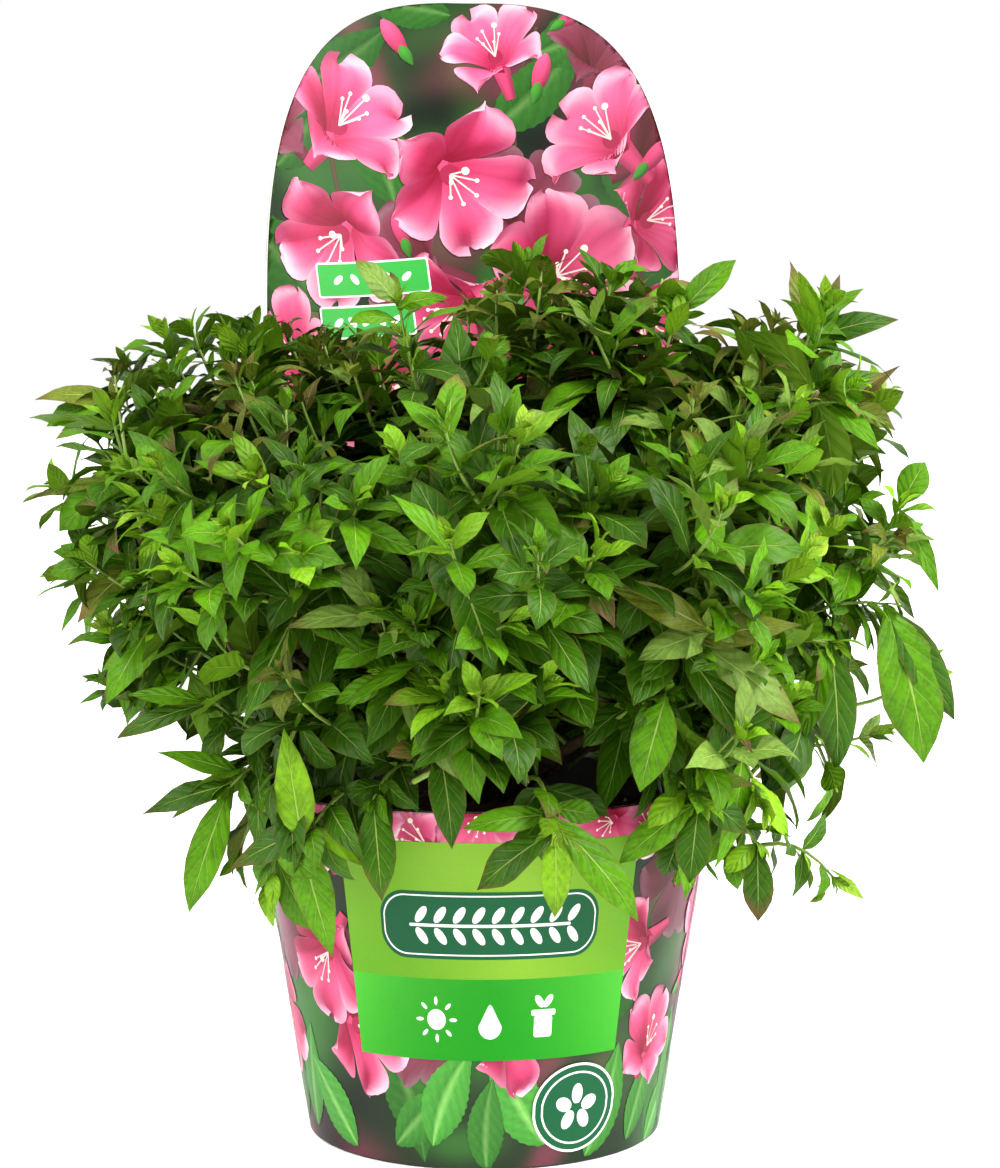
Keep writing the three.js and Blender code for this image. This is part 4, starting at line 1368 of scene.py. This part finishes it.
def dress_shoot(foliage, crown, path, palette, size, rng, hang=False, free=False):
    """Sets pairs of leaves along a shoot, each pair crossing the last."""
    plant = bpy.context.scene.weigela_plant
    gaps = np.linalg.norm(np.diff(path, axis=0), axis=1)
    run = np.concatenate([[0], np.cumsum(gaps)])
    tangent = unit(np.gradient(path, axis=0))
    spin = rng.uniform(0, math.pi)
    outward = unit((path[-1] - CROWN_HEART) * np.array([1, 1, 0.3]))
    kinds = PALETTES[palette]
    # Each shoot's tone varies at random, and on the right it is lighter as painted sunlight.
    tone_and_sunny_side = rng.uniform(0.85, 1.12) * (1 + SUNNY_SIDE * smoothstep(40, 120, path[-1][0]))
    weathered = 0.12 + 0.38 * smoothstep(245, 320, path[-1][2])
    for rank, (back, share, spread) in enumerate(LEAF_PAIRS):
        back = back * size * rng.uniform(0.85, 1.2)
        if back > run[-1]:
            break
        at = run[-1] - back
        point = np.array([np.interp(at, run, path[:, i]) for i in range(3)])
        stem = unit([np.interp(at, run, tangent[:, i]) for i in range(3)])
        aside = unit(np.cross(stem, UP if abs(stem[2]) < 0.95 else [1.0, 0.0, 0.0]))
        cross = np.cross(stem, aside)
        for half_turn in (0.0, math.pi):
            angle = spin + rank * math.pi / 2 + half_turn + rng.uniform(-0.35, 0.35)
            out = aside * math.cos(angle) + cross * math.sin(angle)
            sprouts = [(share, spread, min(rank + int(rng.random() < 0.25), len(kinds) - 1))]
            if rank >= AXIL_RANK and rng.random() < 0.3:
                sprouts.append((rng.uniform(0.25, 0.45), spread * 0.45, 1))
            for leaf_share, leaf_spread, kind_rank in sprouts:
                open_angle = math.radians(leaf_spread * rng.uniform(0.7, 1.2))
                forward = stem * math.cos(open_angle) + out * math.sin(open_angle)
                forward = unit(forward - UP * rng.uniform(0.0, 0.4) * share + rng.normal(0, 0.08, 3))
                normal = 0.55 * stem + (0.75 if hang else 0.6) * UP + rng.uniform(0.1, 0.6) * outward
                normal = normal + rng.normal(0, 0.22, 3)
                length = plant.leaf_length / MM * leaf_share * size * rng.uniform(0.72, 1.18)
                width = plant.leaf_width / MM * leaf_share * size * rng.uniform(0.75, 1.25)
                curl = rng.uniform(0.25, 0.8) + 1.2 * leaf_share * rng.random() ** 1.3
                fold = rng.uniform(0.25, 0.6) if rank > 1 else rng.uniform(0.5, 0.9)
                kind = kinds[kind_rank]
                twist = rng.normal(0, 0.4)
                outline = rng.integers(NARROW_TIP)
                if kind in DRY_KINDS:
                    width, curl, twist = width * 0.78, curl + rng.uniform(0.2, 1.2), twist * 1.8
                    outline = NARROW_TIP
                forward = steer_clear(point, forward, length)
                if forward is None:
                    continue
                if not free:
                    middle, end = (point + forward * length * part for part in LEAF_TESTS)
                    if in_opening(middle) or in_opening(end):
                        continue
                    over = crown.outside(end) - rng.exponential(LEAF_OVERHANG)
                    if over > 0:
                        length, width = length * (1 - over / 40), width * (1 - over / 90)
                        if over > 16 or length < 7:
                            continue
                odds = 0.8 if kind in DRY_KINDS else max(weathered, 0.4) if kind == "dusky" else weathered
                drought = rng.uniform(0.2, 0.68) if rng.random() < odds else rng.uniform(0.0, 0.12)
                foliage.add(kind, point, forward, normal, length, width, curl, fold, twist,
                            outline, tone_and_sunny_side * rng.uniform(0.75, 1.25), drought, rng.uniform(0, 6.3))


class Crown:
    """The skin of all the leaf masses, which bounds the ordinary shoots and their leaves."""

    def __init__(self):
        corners, faces = [], []
        self.skins = []
        for name in MASSES:
            mesh = NODES[name].data
            mesh.calc_loop_triangles()
            triangles = np.array([t.vertices[:] for t in mesh.loop_triangles])
            points = np.array([v.co[:] for v in mesh.vertices]) / MM
            faces.extend((triangles + len(corners)).tolist())
            corners.extend(points.tolist())
            self.skins.append((name, points[triangles]))
        self.tree = BVHTree.FromPolygons(corners, faces)

    def outside(self, point):
        """How far a point stands out of the masses, or 0 inside them."""
        near, facing, _, gap = self.tree.find_nearest(Vector(point))
        return gap if (Vector(point) - near).dot(facing) > 0 else 0.0

    def tips(self, spacing, rng):
        """Places spread evenly over the outer skin, with the way out of the crown at each."""
        found = []
        for name, triangles in self.skins:
            normal = np.cross(triangles[:, 1] - triangles[:, 0], triangles[:, 2] - triangles[:, 0])
            area = np.linalg.norm(normal, axis=1) / 2
            normal = unit(normal)
            middle = triangles.reshape(-1, 3).mean(0)
            count = int(area.sum() / spacing ** 2 * 9)
            pick = rng.choice(len(area), count, p=area / area.sum())
            share = rng.random((count, 2))
            share = np.where(share.sum(1, keepdims=True) > 1, 1 - share, share)
            corner = triangles[pick]
            edges = corner[:, 1:] - corner[:, :1]
            places = corner[:, 0] + (share[..., None] * edges).sum(1)
            for point, facing in zip(places, normal[pick]):
                hit = self.tree.ray_cast(Vector(point + facing * 0.4), Vector(facing), 13.0)
                if hit[0] is not None or not clear_of_wrap(point + facing * 6):
                    continue
                found.append((name, point, unit(0.6 * facing + 0.6 * unit(point - middle))))
        kept, places = [], np.zeros((0, 3))
        for index in rng.permutation(len(found)):
            name, point, facing = found[index]
            if (np.linalg.norm(places - point, axis=1) < spacing).any():
                continue
            places = np.vstack([places, point])
            kept.append((name, point, facing))
        return kept


def shoot_palette(point, rng):
    """Which colours a shoot wears: bronze near the top, fresh greens below."""
    x, _, z = point
    high = float(smoothstep(265, 335, z))
    low = float(smoothstep(240, 170, z))
    right = float(smoothstep(40, 120, x))
    middle = float(np.exp(-((x - 10) / 45) ** 2))
    weights = {
        "fresh": (1.0 + 0.4 * (1 - high) + 2.2 * right) * (1 - 0.6 * low),
        "green": 2.0 - 0.9 * right,
        "deep": 0.9 - 0.8 * right + 0.6 * low,
        "dusky": (0.9 + 0.6 * high + 1.6 * right) * (1 - 0.7 * low),
        "olive": 0.2 * (1 - low) + 2.2 * high * (1 - 0.4 * middle),
        "bronze": 0.04 + 1.5 * high * (1 - 0.6 * middle),
    }
    names = list(weights)
    odds = np.array([weights[name] for name in names])
    return names[rng.choice(len(names), p=odds / odds.sum())]


def over_rim(point):
    """Raises a place inside the pot's reach to where a stem clears the rim."""
    if np.hypot(point[0], point[1]) < WRAP_RIM_RADIUS + 9:
        point[2] = max(point[2], WRAP_RIM + 11)
    return point


def shoot_path(tip, heading, length, lift):
    """A shoot that leaves its twig low and turns up, or hangs where lift is negative."""
    end = unit(heading + lift * UP)
    foot = over_rim(tip - unit(heading * 0.8 + end * 0.2) * length)
    bend = over_rim(tip - end * length * 0.42)
    return bezier(foot, bend, tip, 8)


def branch_out(start, shoots, rng, wood):
    """Splits a limb's load of shoots in two, again and again, down to single shoots."""
    feet = np.array([path[0] for path in shoots])
    if len(shoots) == 1:
        goal = feet[0]
        direction = unit(shoots[0][1] - goal)
        bend = goal - direction * 0.25 * np.linalg.norm(goal - start)
        wood.append((bezier(start, bend, goal, 5), 0.95, 0.85))
        return
    middle = feet.mean(0)
    fork = start + (middle - start) * rng.uniform(0.3, 0.5)
    bend = (start + fork) / 2 + rng.normal(0, 1.5, 3)
    thick = 0.85 * len(shoots) ** 0.24
    wood.append((bezier(start, bend, fork, 4), thick * 1.08, thick))
    spread = feet - middle
    axis = np.linalg.svd(spread, full_matrices=False)[2][0]
    order = np.argsort(spread @ axis)
    cut = int(round(len(shoots) * rng.uniform(0.4, 0.6)))
    cut = min(max(cut, 1), len(shoots) - 1)
    branch_out(fork, [shoots[i] for i in order[:cut]], rng, wood)
    branch_out(fork, [shoots[i] for i in order[cut:]], rng, wood)


# Openings in the crown, as centres and half-sizes: over the rim's front and between boughs.
OPENINGS = (
    ((30, -112, 142), (66, 34, 13)),
    ((40, -104, 166), (17, 30, 27)),
    ((-120, -60, 195), (17, 50, 9)),
    ((-128, -60, 165), (20, 50, 12)),
    ((-112, -60, 203), (12, 50, 6)),
    ((154, -40, 176), (12, 50, 32)),
    ((140, -60, 132), (10, 40, 9)),
    ((-80, -122, 160), (11, 22, 22)),
    ((-64, -124, 110), (12, 20, 18)),
    ((170, -70, 190), (14, 20, 32)),
    ((40, 10, 372), (70, 80, 18)),
    ((108, -20, 354), (18, 60, 17)),
)
# Shoots that stand out of the crown: tip, rise, colours and size of the leaves, and
# their large leaves, each given by its tip, width and colour.
OUTER_SHOOTS = (
    ((-150, -12, 302), 0.2, "olive", 0.7, (((-181, -12, 303), 11, "olive"), ((-176, -14, 292), 14, "mid"))),
    ((-148, -22, 270), 0.9, "green", 0.8, (((-184, -21, 262), 6, "olive"), ((-170, -22, 250), 15, "mid"))),
    ((-140, -24, 236), 0.9, "green", 0.8, (((-172, -24, 240), 13, "mid"), ((-164, -26, 214), 17, "olive"))),
    ((-132, -40, 215), 0.3, "fresh", 0.7, (((-150, -43, 183), 17, "mid"),)),
    ((-108, -64, 184), 0.3, "deep", 0.7, (((-140, -64, 188), 9, "mid"), ((-145, -64, 172), 9, "dark"))),
    ((-102, -70, 152), -0.35, "green", 0.6,
     (((-134, -70, 142), 12, "dark"), ((-118, -76, 106), 14, "mid"), ((-128, -70, 165), 9, "mid"))),
    ((-74, -106, 136), -0.3, "green", 0.7,
     (((-80, -99, 176), 15, "fresh"), ((-63, -104, 94), 15, "mid"), ((-100, -100, 126), 14, "dark"),
      ((-42, -108, 126), 11, "fresh"))),
    ((-47, -106, 152), -0.3, "deep", 0.6, (((-44, -113, 117), 14, "dark"),)),
    ((-22, -110, 172), -0.3, "deep", 0.6, (((-18, -118, 137), 14, "dark"),)),
    ((-38, -112, 198), 0.2, "green", 0.7, (((-12, -118, 160), 15, "dusky"), ((-60, -114, 190), 10, "mid"))),
    ((-14, -112, 198), 0.2, "fresh", 0.5, (((-6, -118, 180), 10, "fresh"),)),
    ((-44, -116, 222), 0.6, "dusky", 0.8,
     (((-78, -118, 219), 11, "dusky"), ((-60, -116, 241), 13, "dusky"), ((-12, -118, 233), 11, "fresh"))),
    ((20, -122, 142), -0.35, "fresh", 0.65,
     (((-8, -124, 122), 15, "dark"), ((20, -127, 112), 12, "fresh"), ((51, -122, 110), 15, "mid"),
      ((-12, -122, 143), 11, "mid"))),
    ((76, -106, 150), -0.3, "green", 0.6,
     (((46, -116, 130), 13, "mid"), ((71, -118, 123), 14, "dark"), ((56, -117, 143), 10, "fresh"),
      ((94, -102, 138), 12, "dark"))),
    ((62, -116, 192), 0.1, "deep", 0.5, (((52, -122, 158), 17, "mid"),)),
    ((77, -122, 216), 0.15, "dusky", 0.6,
     (((38, -120, 234), 15, "olive"), ((52, -124, 206), 14, "dusky"), ((110, -120, 217), 13, "olive"),
      ((110, -116, 182), 16, "dusky"), ((92, -120, 172), 13, "dark"))),
    ((80, -108, 230), 0.6, "dusky", 0.6, (((85, -106, 259), 18, "dark"),)),
    ((100, -92, 132), -0.35, "green", 0.6, (((100, -97, 104), 12, "dark"), ((88, -98, 122), 9, "fresh"))),
    ((132, -80, 116), -0.4, "fresh", 0.45, (((143, -82, 108), 6, "lime"),)),
    ((133, -64, 206), -0.1, "green", 0.7, (((136, -68, 158), 16, "dark"), ((122, -68, 170), 11, "mid"))),
    ((158, -46, 220), -0.1, "green", 0.6, (((173, -50, 160), 27, "mid"), ((184, -46, 176), 17, "dark"))),
    ((165, -38, 258), 0.8, "fresh", 0.8,
     (((175, -38, 276), 13, "mid"), ((181, -38, 226), 9, "mid"), ((150, -38, 262), 8, "mid"))),
    ((150, -12, 300), 0.4, "bronze", 0.8, (((170, -10, 316), 6, "bronze"), ((168, -12, 290), 11, "olive"))),
    ((130, -14, 332), 0.6, "olive", 0.8,
     (((126, -8, 358), 9, "olive"), ((154, -10, 346), 12, "mid"), ((168, -10, 335), 12, "dark"))),
    ((78, -25, 336), 0.6, "green", 0.6, (((99, -25, 357), 12, "mid"),)),
    ((103, -32, 328), 0.9, "bronze", 0.9, ()),
    ((116, -26, 332), 0.9, "bronze", 0.75, ()),
    ((133, -24, 318), 0.9, "olive", 0.8, ()),
    ((108, -48, 310), 0.7, "olive", 0.95, ()),
    ((128, -44, 300), 0.7, "bronze", 0.9, ()),
    ((4, -22, 346), 1.0, "bronze", 0.6, ()),
    ((22, -24, 353), 1.0, "bronze", 0.65, ()),
    ((36, -18, 347), 1.0, "olive", 0.6, ()),
    ((46, -22, 352), 1.0, "bronze", 0.6, ()),
    ((62, -22, 346), 0.9, "olive", 0.65, ()),
    ((-8, -27, 338), 0.9, "bronze", 0.6, ()),
    ((30, -34, 336), 0.7, "olive", 0.75, ()),
    ((74, -34, 330), 0.8, "green", 0.8, ()),
    ((-36, -64, 338), 0.9, "fresh", 0.7, (((-52, -66, 354), 12, "dusky"), ((-18, -66, 341), 8, "mid"))),
    ((-55, -50, 318), 0.9, "olive", 0.85, ()),
    ((-75, -54, 304), 0.9, "bronze", 0.9, ()),
    ((-95, -40, 312), 0.9, "olive", 0.85, ()),
    ((-112, -38, 298), 0.8, "bronze", 0.8, ()),
    ((-66, -14, 326), 1.0, "olive", 0.7, ()),
    ((-80, 0, 329), 1.1, "bronze", 0.65, ()),
    ((-93, 2, 330), 1.1, "deep", 0.7, ()),
    ((-106, 2, 328), 1.1, "green", 0.65, ()),
    ((-119, -2, 330), 1.1, "deep", 0.7, ()),
    ((-131, -2, 329), 1.0, "green", 0.65, ()),
    ((-145, -4, 316), 0.9, "deep", 0.7, ()),
    ((-104, -22, 316), 0.9, "deep", 0.75, ()),
    ((-128, -20, 312), 0.9, "green", 0.75, ()),
)


def set_leaf(foliage, base, tip, width, kind, rng):
    """Adds one large leaf from its stem to a chosen tip, with its upper side to the light."""
    normal = np.array([0.1 * rng.normal(), -0.8, 0.55])
    reach = np.linalg.norm(tip - base)
    forward = unit(tip - base + normal * 0.2 * reach)
    drought = rng.uniform(0.2, 0.6) if kind in ("olive", "dusky", "dark") else 0.1
    outline = NARROW_TIP if kind in DRY_KINDS else rng.integers(NARROW_TIP)
    foliage.add(kind, base, forward, normal, reach * 1.07, width, rng.uniform(0.4, 0.8), 0.35,
                rng.normal(0, 0.2), outline, rng.uniform(0.95, 1.15), drought, rng.uniform(0, 6.3))


def outer_shoot(foliage, crown, tip, rise, palette, size, leaves, length, rng):
    """Grows one of the shoots that stand out of the crown; gives its path."""
    tip = np.array(tip, float)
    outward = unit((tip - CROWN_HEART) * np.array([1, 1, 0.4]))
    foot = over_rim(tip - outward * length * 0.6 - UP * length * (0.2 + 0.4 * rise))
    bend = over_rim(tip - unit(0.4 * outward + rise * UP) * length * 0.4)
    path = bezier(foot, bend, tip, 8)
    dress_shoot(foliage, crown, path, palette, size, rng, rise < 0, True)
    for index, (goal, width, kind) in enumerate(leaves):
        base = path[-1 - index // 2] + rng.normal(0, 0.3, 3)
        set_leaf(foliage, base, np.array(goal, float), width, kind, rng)
    return path


def inner_shoots(foliage, crown, length, rng):
    """Shaded side shoots along the boughs, which fill the inside of the crown; gives their paths."""
    stems = []
    for name in BOUGHS:
        bough = bough_path(name, 24)
        for foot in bough[9::2]:
            aside = unit(rng.normal(0, 1, 3) * np.array([1, 1, 0.4]) + 0.4 * unit(foot - CROWN_HEART))
            bend = foot + (aside + 0.3 * UP) * length * 0.4
            path = bezier(foot, bend, bend + (0.3 * aside + UP) * length * 0.3, 8)
            if clear_of_wrap(path) and foot[2] > WRAP_RIM + 16:
                dress_shoot(foliage, crown, path, "inner", rng.uniform(0.85, 1.1), rng, free=True)
                stems.append(path)
    return stems


def grow_crown(plant):
    """Grows every shoot from the boughs; gives the leaves, green stems and twigs."""
    rng = np.random.default_rng(plant.seed)
    foliage, crown = Foliage(), Crown()
    loads = {name: [] for name in BOUGHS}
    goals = {name: around(*BOUGHS[name]) for name in BOUGHS}
    stems, wood = [], []
    for shoot in OUTER_SHOOTS:
        stems.append(outer_shoot(foliage, crown, *shoot, plant.shoot_length / MM, rng))
    for mass, tip, facing in crown.tips(plant.shoot_spacing / MM, rng):
        hang = "hanging" in mass
        outward = unit(tip - CROWN_HEART)
        if facing @ outward < -0.05 or (hang and rng.random() < 0.5):
            continue
        heading = 0.35 * facing + 0.6 * outward + rng.normal(0, 0.2, 3)
        heading = unit([heading[0], heading[1], max(heading[2], 0.05)])
        lift = rng.uniform(0.4, 1.3)
        if hang:
            heading = unit(0.45 * outward + np.array([0.0, 0.0, -0.75]) + rng.normal(0, 0.12, 3))
            lift = -0.2
        elif facing[2] < -0.35:
            lift = 0.25
        length = plant.shoot_length / MM * rng.uniform(0.75, 1.2) * (0.75 if hang else 1.0)
        sunk = rng.uniform(4, 14) if hang or rng.random() < 0.6 else rng.uniform(16, 46)
        end = tip - heading * sunk
        path = shoot_path(end, heading, length, lift)
        if in_opening(end) or in_opening(path[0]) or not clear_of_wrap(path[1:]):
            continue
        if max(crown.outside(point) for point in path[::2]) > 5:
            continue
        palette = "deep" if sunk > 30 else shoot_palette(tip, rng)
        dress_shoot(foliage, crown, path, palette, rng.uniform(0.75, 1.12), rng, hang)
        stems.append(path)
    inner = inner_shoots(foliage, crown, plant.shoot_length / MM * 0.9, rng)
    for path in stems:
        nearest = min(goals, key=lambda name: np.linalg.norm(goals[name] - path[0]))
        loads[nearest].append(path)
    for name, shoots in loads.items():
        if shoots:
            branch_out(goals[name], shoots, rng, wood)
    return foliage, stems + inner, wood


class WEIGELA_OT_crown(bpy.types.Operator):
    """Grow the twigs, shoots and leaves on from the boughs"""

    bl_idname = "weigela.crown"
    bl_label = "Twigs and Leaves"

    def execute(self, context):
        plant = context.scene.weigela_plant
        foliage, stems, wood = grow_crown(plant)
        finishes = {}
        for kind in KINDS:
            blade = tuple(getattr(plant, kind))
            rib = tuple(blend(blade, tone(190, 212, 110), 0.55))
            back = tuple(blend(blade, tone(126, 152, 44), 0.4))
            finishes[kind] = leaf_finish("leaf_" + kind, blade, rib, back, tuple(plant.withered))
        foliage.write(finishes, MASSES)
        dull = blend(plant.stem[:], tone(96, 96, 50), 0.5)
        green = mottled_finish("green_stem", plant.stem, dull, 120.0, 800.0, (0.45, 0.65), 0.1)
        brown = mottled_finish("twig_bark", plant.bark, plant.bark_dark, 240.0, 1200.0, (0.7, 0.9), 0.25)
        tip = plant.shoot_radius / MM
        green_parts = [tube(path, np.linspace(tip * 1.35, tip * 0.6, len(path)), 5) for path in stems]
        brown_parts = [tube(path, np.linspace(thick, thin, len(path)), 5) for path, thick, thin in wood]
        write_piece("green_stems", *merge(green_parts), green, "bark")
        write_piece("brown_twigs", *merge(brown_parts), brown, "bark")
        return {"FINISHED"}


# ---- Stage -----------------------------------------------------------------
CAMERA_TURN = 0.05  # the camera stands a little to the left of the label
CAMERA_YAW = 0.006
CAMERA_PITCH = 0.066
LENS = 82.2


def aim_light(name, data, place, aim):
    light = bpy.data.objects.new(name, data)
    light.location = place
    light.rotation_euler = (Vector(aim) - Vector(place)).to_track_quat("-Z", "Y").to_euler()
    bpy.context.scene.collection.objects.link(light)


def area_light(name, place, aim, size, power):
    data = bpy.data.lights.new(name, "AREA")
    data.shape = "DISK"
    data.size = size
    data.energy = power
    aim_light(name, data, place, aim)


def soft_sun(name, place, spread, strength):
    """Even light from one direction, softened over a spread in degrees."""
    data = bpy.data.lights.new(name, "SUN")
    data.angle = math.radians(spread)
    data.energy = strength
    aim_light(name, data, place, (0, 0, 0))


class WEIGELA_OT_stage(bpy.types.Operator):
    """Set the floor, the lights and the camera"""

    bl_idname = "weigela.stage"
    bl_label = "Stage"

    def execute(self, context):
        stage = context.scene.weigela_stage
        finish, tree, shader = new_finish(
            "pale_floor", Roughness=0.9, Specular_IOR_Level=0.1, Emission_Strength=0.2,
            Emission_Color=(1.0, 1.0, 1.0, 1.0))
        grain = place_grain(tree, 3.0, 60.0)
        dusty = tuple(0.99 * part for part in stage.floor)
        colour = mix_colour(tree, grain["Blotch"], tuple(stage.floor), dusty)
        tree.links.new(colour, shader.inputs["Base Color"])
        mesh = bpy.data.meshes.new("floor")
        half = 30.0
        corners = [(half * x, half * y, 0) for x, y in ((-1, -1), (1, -1), (1, 1), (-1, 1))]
        mesh.from_pydata(corners, [], [(0, 1, 2, 3)])
        mesh.materials.append(finish)
        floor = new_object("floor", mesh)

        world = bpy.data.worlds.new("surround")
        context.scene.world = world
        world.use_nodes = True
        tree = world.node_tree
        seen = node(tree, "ShaderNodeLightPath").outputs["Is Camera Ray"]
        glow = node(tree, "ShaderNodeMapRange", {"Value": seen, "To Min": stage.sky, "To Max": 1.0})
        tree.links.new(glow.outputs[0], tree.nodes["Background"].inputs["Strength"])
        tree.nodes["Background"].inputs["Color"].default_value = (1.0, 1.0, 1.0, 1.0)
        soft_sun("key_left", (-0.9, -0.5, 1.4), 30.0, stage.key_power * 1.5)
        soft_sun("key_right", (1.1, -0.5, 1.2), 30.0, stage.key_power * 2.5)
        area_light("left", (-1.4, -0.9, 0.9), (0, 0, 0.25), 0.9, stage.fill_power)
        area_light("right", (1.5, -0.7, 0.8), (0, 0, 0.25), 0.9, stage.fill_power)

        data = bpy.data.cameras.new("camera")
        data.lens = LENS
        data.sensor_fit = "VERTICAL"
        data.sensor_height = 36.0
        camera = new_object("camera", data)
        distance = stage.camera_distance
        camera.location = (
            -distance * math.sin(CAMERA_TURN), -distance * math.cos(CAMERA_TURN), stage.camera_height)
        camera.rotation_euler = (math.pi / 2 - CAMERA_PITCH, 0.0, -CAMERA_TURN - CAMERA_YAW)
        context.scene.camera = camera
        context.scene.view_settings.view_transform = "Standard"
        context.scene.view_settings.look = "None"
        return {"FINISHED"}


class WEIGELA_PT_parts(bpy.types.Panel):
    """Lists the pieces in the 3D view's sidebar"""

    bl_idname = "WEIGELA_PT_parts"
    bl_label = "Potted Weigela"
    bl_space_type = "VIEW_3D"
    bl_region_type = "UI"
    bl_category = "Weigela"

    def draw(self, context):
        for maker in OPERATORS:
            self.layout.operator(maker.bl_idname)
        for holder in SETTINGS:
            box = self.layout.box()
            settings = getattr(context.scene, holder)
            for name in settings.__annotations__:
                box.prop(settings, name)


SETTINGS = {
    "weigela_pot": WEIGELA_PG_pot,
    "weigela_wrap": WEIGELA_PG_wrap,
    "weigela_plant": WEIGELA_PG_plant,
    "weigela_stage": WEIGELA_PG_stage,
}
OPERATORS = (WEIGELA_OT_stage, WEIGELA_OT_pot, WEIGELA_OT_wrap, WEIGELA_OT_limbs, WEIGELA_OT_crown)


def register():
    for holder, settings in SETTINGS.items():
        bpy.utils.register_class(settings)
        setattr(bpy.types.Scene, holder, PointerProperty(type=settings))
    for made in (*OPERATORS, WEIGELA_PT_parts):
        bpy.utils.register_class(made)


def unregister():
    for made in (WEIGELA_PT_parts, *reversed(OPERATORS)):
        bpy.utils.unregister_class(made)
    for holder, settings in SETTINGS.items():
        delattr(bpy.types.Scene, holder)
        bpy.utils.unregister_class(settings)


def main():
    register()
    for maker in OPERATORS:
        group_name, call = maker.bl_idname.split(".")
        getattr(getattr(bpy.ops, group_name), call)()


if __name__ == "__main__":
    main()
